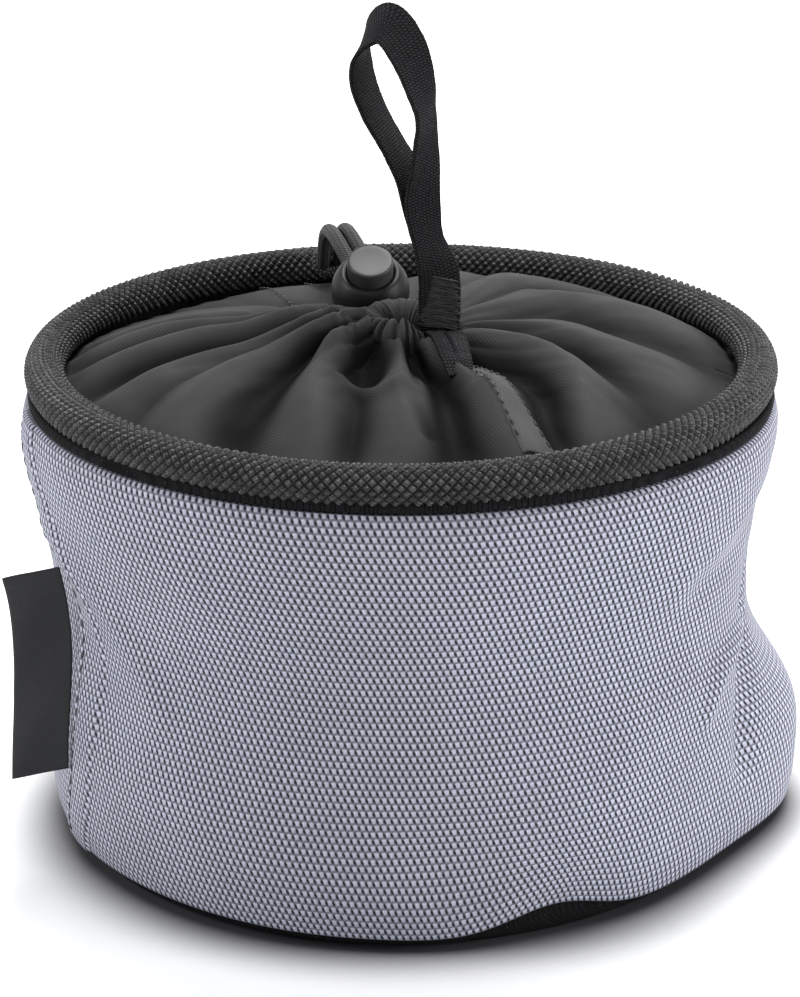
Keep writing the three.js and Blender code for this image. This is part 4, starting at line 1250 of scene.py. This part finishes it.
class MESH_OT_peg_bag_rim(Operator):
    """Braids the rope and turns the binding tape under it"""

    bl_idname = "peg_bag.rim"
    bl_label = "Braided rim and binding"

    def execute(self, context):
        sizes = context.scene.peg_bag_sizes
        count, crossings = sizes.rope_strands, sizes.rope_turns * sizes.rope_strands

        def braid_chart(u, v):
            """The two runs of strands, counted in strands."""
            return count * u + crossings * v, count * u - crossings * v

        def place(u, v):
            a, b = (run + 1e-7 for run in braid_chart(u, v))
            far_a, far_b = a % 1 - 0.5, b % 1 - 0.5
            across, along = (far_b, far_a) if (math.floor(a) + math.floor(b)) % 2 else (far_a, far_b)
            knuckle = (1 - abs(2 * across) ** 2.4) * abs(math.cos(math.pi * along)) ** 0.6
            angle, azimuth = u * TURN, v * 360
            reach = (3.9 + 0.78 * knuckle) * (1 + 0.11 * bell(turn_between(azimuth, -92), 65))
            return polar(RIM_R + reach * math.cos(angle), azimuth,
                         rim_level(azimuth) + reach * math.sin(angle))

        bm = bmesh.new()
        lay_sheet(bm, count * 6, crossings * 6, place, braid_chart)
        place_piece(bm, "rim_braid", "rope", "bag", ("rim_rope",))

        skirt, edge = wall_radius(WALL_TOP) - 3.3, wall_radius(WALL_TOP) - 0.5
        outline = [(skirt - 1.2, 95), (skirt, 95), (skirt, 106.3), (edge, 106.3), (edge + 0.15, 107.7),
                   (edge - 0.2, 109.0), (skirt - 1.2, 109.0)]
        bm = bmesh.new()
        turn_profile(bm, rounded(outline, 0.5), 256, ring=True)
        place_piece(bm, "binding", "binding", "bag", ("rim_binding",))
        return {"FINISHED"}


# Middle line of the cover's seam strip, with its width
SEAM_STRIP = [Vector(point) for point in (
    (13.6, -20, 3.2), (14.8, -26, 3.2), (16.4, -32, 3.6), (18.2, -38, 4.2), (20.4, -44, 5.4),
    (22.8, -50, 6.6), (26.2, -58, 8.2), (30.6, -66.5, 9.6))]
# Rows of stitches on the cover, in plan
SEWN_ROWS = (
    ((12.6, -21), (13.8, -27), (15.2, -33), (16.8, -39), (18.4, -45), (20.2, -51.5), (23.0, -59.5),
     (26.4, -67)),
    ((15.8, -27), (17.8, -33), (20.0, -39), (22.8, -44.5), (25.6, -50), (29.6, -57.5), (34.0, -64.5)),
    ((-25.5, 26), (-27.5, 34), (-30.5, 44), (-33.5, 54), (-36, 61)),
    ((-20.2, 45), (-22.5, 52), (-24.5, 59)),
)


class MESH_OT_peg_bag_cover(Operator):
    """Gathers the nylon cover in its folds and pleats, with its seam strip and stitches"""

    bl_idname = "peg_bag.cover"
    bl_label = "Gathered cover"

    def execute(self, context):
        sizes = context.scene.peg_bag_sizes

        def place(u, v):
            azimuth = u * 360
            edge = COVER_IN_R - 1.2 - 4.8 * gathered(azimuth)
            r = edge + (COVER_OUT_R - edge) * v ** 1.25
            share = between((r - COVER_IN_R) / (COVER_OUT_R - COVER_IN_R), 0, 1)
            spot = polar(r, azimuth, 0) + Vector((MOUTH.x, MOUTH.y, 0)) * (1 - share)
            tuck = 4.5 * ease(edge + 1.8 - r, 0, 1.8)
            spot.z = cover_height(r, azimuth, spot.x, spot.y, share, sizes) - tuck
            return spot

        bm = bmesh.new()
        # Depth of each point in a fold valley, kept on the mesh to paint shade into the cover's colour there.
        hollow = bm.verts.layers.float.new("PaintedFoldShade")
        lay_sheet(bm, 400, 104, place, lambda u, v: (u * 0.42, v ** 1.25 * 0.072))
        for vert in bm.verts:
            x, y = vert.co.x / MM, vert.co.y / MM
            r, azimuth, share = about_mouth(x, y)
            form = cover_form(r, azimuth, x, y, share, sizes) / (0.3 + 0.7 * read_line(COVER_STRENGTH, share))
            vert[hollow] = ease(form, 1.6, -3.4) * (1 - 0.6 * ease(share, 0.7, 1))
        cover = place_cloth(bm, "cover_cloth", "cover", COVER_T, ("gathered_cover",))

        def strip_place(u, v):
            here, aside = across_line(SEAM_STRIP, v)
            here += aside * ((0.5 - u) * here.z)
            return cover_top(here.x, here.y, sizes, 0.1 + 0.4 * ease(0.5 - abs(u - 0.5), 0, 0.12))

        bm = bmesh.new()
        lay_sheet(bm, 26, 130, strip_place, lambda u, v: (u * 0.006, v * 0.05))
        band = place_cloth(bm, "cover_seam_strip", "seam", STRIP_T)

        bm = bmesh.new()
        for row in SEWN_ROWS:
            line = [cover_top(x, y, sizes, 0.62) for x, y in row]
            sew_row(bm, [smooth_run(line, i / 30) for i in range(31)], 1.7, 1.4, 0.26)
        stitches = place_piece(bm, "cover_stitches", "thread", "bag")
        return {"FINISHED"}


class MESH_OT_peg_bag_tunnel(Operator):
    """Gathers the tunnel round the mouth and lays the draw cord in it"""

    bl_idname = "peg_bag.tunnel"
    bl_label = "Tunnel and draw cord"

    def execute(self, context):
        pleats = context.scene.peg_bag_sizes.cover_pleats

        def place(u, v):
            azimuth, angle = u * 360, v * TURN
            front, rear, crinkle, left = (bell(turn_between(azimuth, at), spread) for at, spread in (
                (-88, 26), (92, 62), (150, 48), (165, 50)))
            strap = bell(turn_between(azimuth, -32), 46, 4)
            pleat = pleat_form(azimuth, pleats)
            fine = abs(sine(azimuth * 27 + 40 * math.sin(azimuth * 0.09))) ** 0.7
            depth = 1.25 * (1 - 0.9 * rear) * (1 - 0.7 * left) + 0.35 * front
            out = TUNNEL_R + 0.15 + depth * (pleat - 0.35) + 0.4 * crinkle * (fine - 0.5)
            out += 0.5 * front + 0.5 * rear
            out += 1.6 * left * noise.noise(polar(5.5, azimuth, math.sin(angle) * 2.4) + Vector((3, 7, 1)))
            out -= 0.9 * bell(turn_between(math.degrees(angle), 22), 9) * (1 - 0.7 * rear)
            out += 0.35 * noise.noise(polar(2.2, azimuth, math.sin(angle)) * 1.3)
            out = max(out, CORD_R + 0.7)
            ring = max(TUNNEL_RING_R + out * math.cos(angle) * (1 if math.cos(angle) > 0 else 1.15), 3.1)
            puff = (3.3 + 0.8 * rear + 0.7 * (1 - 0.85 * rear) * (pleat - 0.5)) * (1 - strap)
            return MOUTH + polar(ring, azimuth, out * math.sin(angle) + max(0, math.sin(angle)) * puff)

        bm = bmesh.new()
        lay_sheet(bm, 420, 30, place, lambda u, v: (u * 0.16, v * 0.028))
        place_piece(bm, "mouth_tunnel", "cover", "bag", ("cover_casing",))

        bm = bmesh.new()
        for i in range(24):
            azimuth = 15 * i + 4 * math.sin(i * 1.7)
            if bell(turn_between(azimuth, 75), 42) <= 0.5:
                spot = MOUTH + polar(TUNNEL_RING_R + 4.25, azimuth, 1.75)
                across = polar(0.7, azimuth + 90, 0)
                sew(bm, spot - across, spot + across, 0.2)
        place_piece(bm, "tunnel_stitches", "thread", "bag")

        def half(side):
            """Half of the cord's ring, from the middle of the lock to the far side of the mouth."""
            turns = [(TUNNEL_RING_R * sine(a), TUNNEL_RING_R * cosine(a))
                     for a in range(36, 181, 24)]
            bend = ((STRAND_X * 2 + turns[0][0]) / 3, (TUNNEL_RING_R + turns[0][1] * 2 + CORD_R) / 3)
            flat = [(STRAND_X, TUNNEL_RING_R + CORD_R), bend, *turns]
            held = [strand_point(side * STRAND_X, along) for along in (2.7, 0, -BALL_R / 2, -BALL_R - CORD_R)]
            return held + [MOUTH + LEVEL * along + SIDEWAYS * (side * aside) for aside, along in flat]

        route = half(1) + half(-1)[::-1][1:]
        bm = bmesh.new()
        lay_tube(bm, [smooth_run(route, i / 150) for i in range(151)], CORD_R, 24)
        place_piece(bm, "draw_elastic", "cord", "bag", ("draw_cord",))
        return {"FINISHED"}


class MESH_OT_peg_bag_lock(Operator):
    """Turns the lock's ball and button, bores their slots, and finishes the spring and the hoop"""

    bl_idname = "peg_bag.lock"
    bl_label = "Ball cord lock"

    def execute(self, context):
        slot_w, slot_h = STRAND_X + CORD_R + 0.35, CORD_R + 0.35
        button_r = slot_w + 1.3
        well_r = button_r + 0.3
        lip_r = well_r + 1.18
        top = BALL_R * sine(41.8)
        floor = BALL_R - 1.3
        seat = Matrix.Translation(LOCK * MM) @ LOCK_TURN.to_4x4()

        def bored(name, outline, roof, finish, body, node):
            """Turns an outline and cuts the cord's slot through it, from the slot's floor up to roof."""
            bm = bmesh.new()
            turn_profile(bm, outline, 72)
            bmesh.ops.remove_doubles(bm, verts=bm.verts, dist=1e-7)
            bmesh.ops.recalc_face_normals(bm, faces=bm.faces)
            blank = put_mesh(name, bm)
            high = roof + slot_h
            cutter = bmesh.new()
            bmesh.ops.create_cube(cutter, size=1, matrix=Matrix.Diagonal((
                slot_w * 2 * MM, 3 * BALL_R * MM, high * MM, 1)))
            edges = [edge for edge in cutter.edges
                     if abs((edge.verts[0].co - edge.verts[1].co).y) > BALL_R * MM]
            bmesh.ops.bevel(cutter, geom=edges, offset=min(1.6, high * 0.42) * MM, segments=6, profile=0.5,
                            affect="EDGES", material=-1)
            bmesh.ops.translate(cutter, verts=cutter.verts, vec=(0, 0, (roof - slot_h) / 2 * MM))
            tool = put_mesh(name + "_slot", cutter)
            cut = blank.modifiers.new("Slot", "BOOLEAN")
            cut.operation = "DIFFERENCE"
            cut.solver = "EXACT"
            cut.object = tool
            context.view_layer.update()
            made = bmesh.new()
            made.from_object(blank, context.evaluated_depsgraph_get())
            if len(made.faces) < 100:
                raise RuntimeError("the slot of " + name + " left no solid")
            bmesh.ops.transform(made, matrix=seat, verts=made.verts)
            for spent in (blank, tool):
                data = spent.data
                bpy.data.objects.remove(spent)
                bpy.data.meshes.remove(data)
            piece = place_piece(made, name, finish, body, (node,), closed=False)
            piece.data.set_sharp_from_angle(angle=math.radians(35))

        ball = [(BALL_R * cosine(a), BALL_R * sine(a))
                for a in [-90 + 131.8 * k / 40 for k in range(41)]]
        ball[0], ball[-1] = (0, -BALL_R), (lip_r, top - 0.1)
        ball += [(lip_r - 0.18, top), (well_r + 0.45, top - 0.02), (well_r + 0.12, top - 0.16),
                 (well_r, top - 0.5), (well_r, -floor + 0.5), (well_r - 0.5, -floor), (0, -floor)]
        bored("lock_ball", ball, slot_h, "plastic", "cord_lock", "cord_lock_body")

        rise, edge, foot = top + 3.7, 0.6, -slot_h - 1.3
        button = [(0, foot), (button_r - 0.3, foot), (button_r, foot + 0.3), (button_r, rise - edge)]
        button += [(button_r - edge + edge * cosine(a), rise - edge + edge * sine(a))
                   for a in (18, 36, 54, 72, 90)]
        button += [(button_r * share, rise - drop) for share, drop in (
            (0.75, 0.03), (0.5, 0.1), (0.25, 0.14), (0, 0.15))]
        bored("lock_button", button, slot_h + 2.4, "button", "lock_button", "cord_lock_button")

        for node, finish in (("cord_lock_spring", "wire"), ("rim_hoop", "plastic")):
            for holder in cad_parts[node].material_slots:
                holder.material = finish_of(finish)
        return {"FINISHED"}


# Middle line of the loop's root on the cover, with its width
ROOT_LINE = [Vector(point) for point in (
    (9.1, -15.0, 8.6), (9.7, -18, 8.6), (10.4, -22, 8.4), (11.2, -26.5, 8.0), (12.2, -32, 7.2),
    (13.6, -38.5, 6.0))]


class MESH_OT_peg_bag_loop(Operator):
    """Bends the webbing loop, sews its bar tack and lays its root"""

    bl_idname = "peg_bag.loop"
    bl_label = "Hanging loop"

    def execute(self, context):
        sizes = context.scene.peg_bag_sizes
        places = [Vector(row[:3]) * LOOP_RISE + LOOP_FOOT for row in LOOP_SHARES]
        broad = [Vector(row[3:]) for row in LOOP_SHARES]
        points, widths = ([smooth_run(rows, i / LOOP_STEPS) for i in range(LOOP_STEPS + 1)]
                          for rows in (places, broad))
        bm = bmesh.new()
        lay_ribbon(bm, points, widths, WEBBING_W, WEBBING_T)
        for vert in bm.verts:
            vert.co += Vector((1, 0.6, 0.3)) * (noise.noise(vert.co * 420) * 0.00012)
        place_piece(bm, "loop_webbing", "webbing", "loop", ("hanging_loop",))

        front = LOOP_FOOT.y - 0.012 * LOOP_RISE - WEBBING_T / 2 - 0.3
        low, high = LOOP_FOOT.z + 1.2, LOOP_FOOT.z + 13.2
        bm = bmesh.new()
        for i in range(46):
            z = low + (high - low) * (i + 0.5) / 46
            lean = (3.4 if i % 2 else 1.2) + 0.5 * math.sin(i * 1.9)
            middle = LOOP_FOOT.x + 0.5 * math.sin(i * 2.3)
            wide = 4.3 + 0.6 * bell((z - low) / (high - low) - 0.45, 0.3)
            sew(bm, Vector((middle - wide, front, z + lean * 0.3)),
                Vector((middle + wide, front - 0.12 * math.sin(i), z - lean * 0.3)), 0.27)
        place_piece(bm, "bar_tack", "tack", "loop", ("loop_bar_tack",))

        bm = bmesh.new()
        for i in range(150):
            at = round((0.36 + 0.5 * ((i * 0.618) % 1)) * LOOP_STEPS)
            wide = squared(widths[at], (points[at + 1] - points[at]).normalized()) * (1 if i % 3 else -1)
            root = points[at] + wide * 4.7
            spread = Vector((math.sin(i * 7.1), math.sin(i * 3.7), math.sin(i * 5.3)))
            sew(bm, root, root + (wide * 0.8 + spread * 0.7) * (0.5 + 0.5 * ((i * 0.37) % 1)), 0.055)
        place_piece(bm, "loop_fuzz", "webbing", "loop")

        def root_place(u, v):
            here, aside = across_line(ROOT_LINE, v)
            spot = here + aside * ((0.5 - u) * here.z)
            spot = cover_top(spot.x, spot.y, sizes)
            half = aside * (here.z / 2 if u != 0.5 else 0)
            crest = max(cover_top(here.x + half.x * k, here.y + half.y * k, sizes).z
                        for k in (-1, -0.6, -0.2, 0.2, 0.6, 1))
            spot.z = spot.z * 0.15 + crest * 0.85 + 0.9 - 1.6 * ease(v, 0.8, 1)
            spot.z += (124.4 - spot.z) * (1 - ease(v, 0.02, 0.14))
            spot.z = min(spot.z, 124.9 + 0.17 * (-12.6 - spot.y))
            return spot

        bm = bmesh.new()
        lay_sheet(bm, 16, 90, root_place, lambda u, v: (u * 0.0084, v * 0.026))
        place_cloth(bm, "loop_root", "webbing", ROOT_T)
        return {"FINISHED"}


class MESH_OT_peg_bag_label(Operator):
    """Folds the bare ribbon label that is caught in the side seam"""

    bl_idname = "peg_bag.label"
    bl_label = "Side label"

    def execute(self, context):
        foot, tall, long, thick = 25.5, 50.2, 13.5, 0.8
        columns, middle = 44, 22

        def place(u, v):
            z = foot + tall * v
            root = polar(wall_radius(z) + 1.4, 206.2, z)
            k = round(u * columns) % columns
            side = 1 if k < middle else -1
            share = (k if side > 0 else columns - k) / middle
            gap = 0.5 * thick * (1 - share ** 8)
            wave = 0.9 * math.sin(TURN * v) * share + 0.35 * math.sin(TURN * (share * 0.7 + v * 1.7)) * share
            edge = 0.45 * math.sin(TURN * v * 1.3 + 0.8) * share
            return root + Vector((-share * long + edge * 0.4, wave - side * gap, -3 * share + edge * 0.5))

        bm = bmesh.new()
        lay_sheet(bm, columns, 64, place, lambda u, v: (u * 2 * long * MM, v * tall * MM))
        bmesh.ops.remove_doubles(bm, verts=bm.verts, dist=1e-7)
        rims = [edge for edge in bm.edges if len(edge.link_faces) == 1]
        bmesh.ops.contextual_create(bm, geom=rims)
        open_rims = [edge for edge in bm.edges if len(edge.link_faces) == 1]
        if open_rims:
            bmesh.ops.holes_fill(bm, edges=open_rims, sides=0)
        place_piece(bm, "side_label_ribbon", "label", "label", ("side_label",))
        return {"FINISHED"}


class VIEW3D_PT_peg_bag(Panel):
    """Lists the bag's sizes, colours and pieces."""

    bl_label = "Peg bag"
    bl_idname = "VIEW3D_PT_peg_bag"
    bl_space_type = "VIEW_3D"
    bl_region_type = "UI"
    bl_category = "Peg bag"

    def draw(self, context):
        layout = self.layout
        for settings in (context.scene.peg_bag_sizes, context.scene.peg_bag_colours):
            box = layout.box()
            for name in settings.__annotations__:
                box.prop(settings, name)
        for operator in OPERATORS:
            layout.operator(operator.bl_idname)


OPERATORS = (
    SCENE_OT_peg_bag_stage,
    MESH_OT_peg_bag_tails,
    MESH_OT_peg_bag_wall,
    MESH_OT_peg_bag_base,
    MESH_OT_peg_bag_rim,
    MESH_OT_peg_bag_cover,
    MESH_OT_peg_bag_tunnel,
    MESH_OT_peg_bag_lock,
    MESH_OT_peg_bag_loop,
    MESH_OT_peg_bag_label,
)
CLASSES = (PegBagSizes, PegBagColours, *OPERATORS, VIEW3D_PT_peg_bag)


def register():
    for item in CLASSES:
        bpy.utils.register_class(item)
    bpy.types.Scene.peg_bag_sizes = PointerProperty(type=PegBagSizes)
    bpy.types.Scene.peg_bag_colours = PointerProperty(type=PegBagColours)


def unregister():
    del bpy.types.Scene.peg_bag_sizes, bpy.types.Scene.peg_bag_colours
    for item in reversed(CLASSES):
        bpy.utils.unregister_class(item)


def main():
    register()
    bpy.ops.peg_bag.stage()
    bpy.ops.peg_bag.tails()
    bpy.ops.peg_bag.wall()
    bpy.ops.peg_bag.base()
    bpy.ops.peg_bag.rim()
    bpy.ops.peg_bag.cover()
    bpy.ops.peg_bag.tunnel()
    bpy.ops.peg_bag.lock()
    bpy.ops.peg_bag.loop()
    bpy.ops.peg_bag.label()


if __name__ == "__main__":
    main()
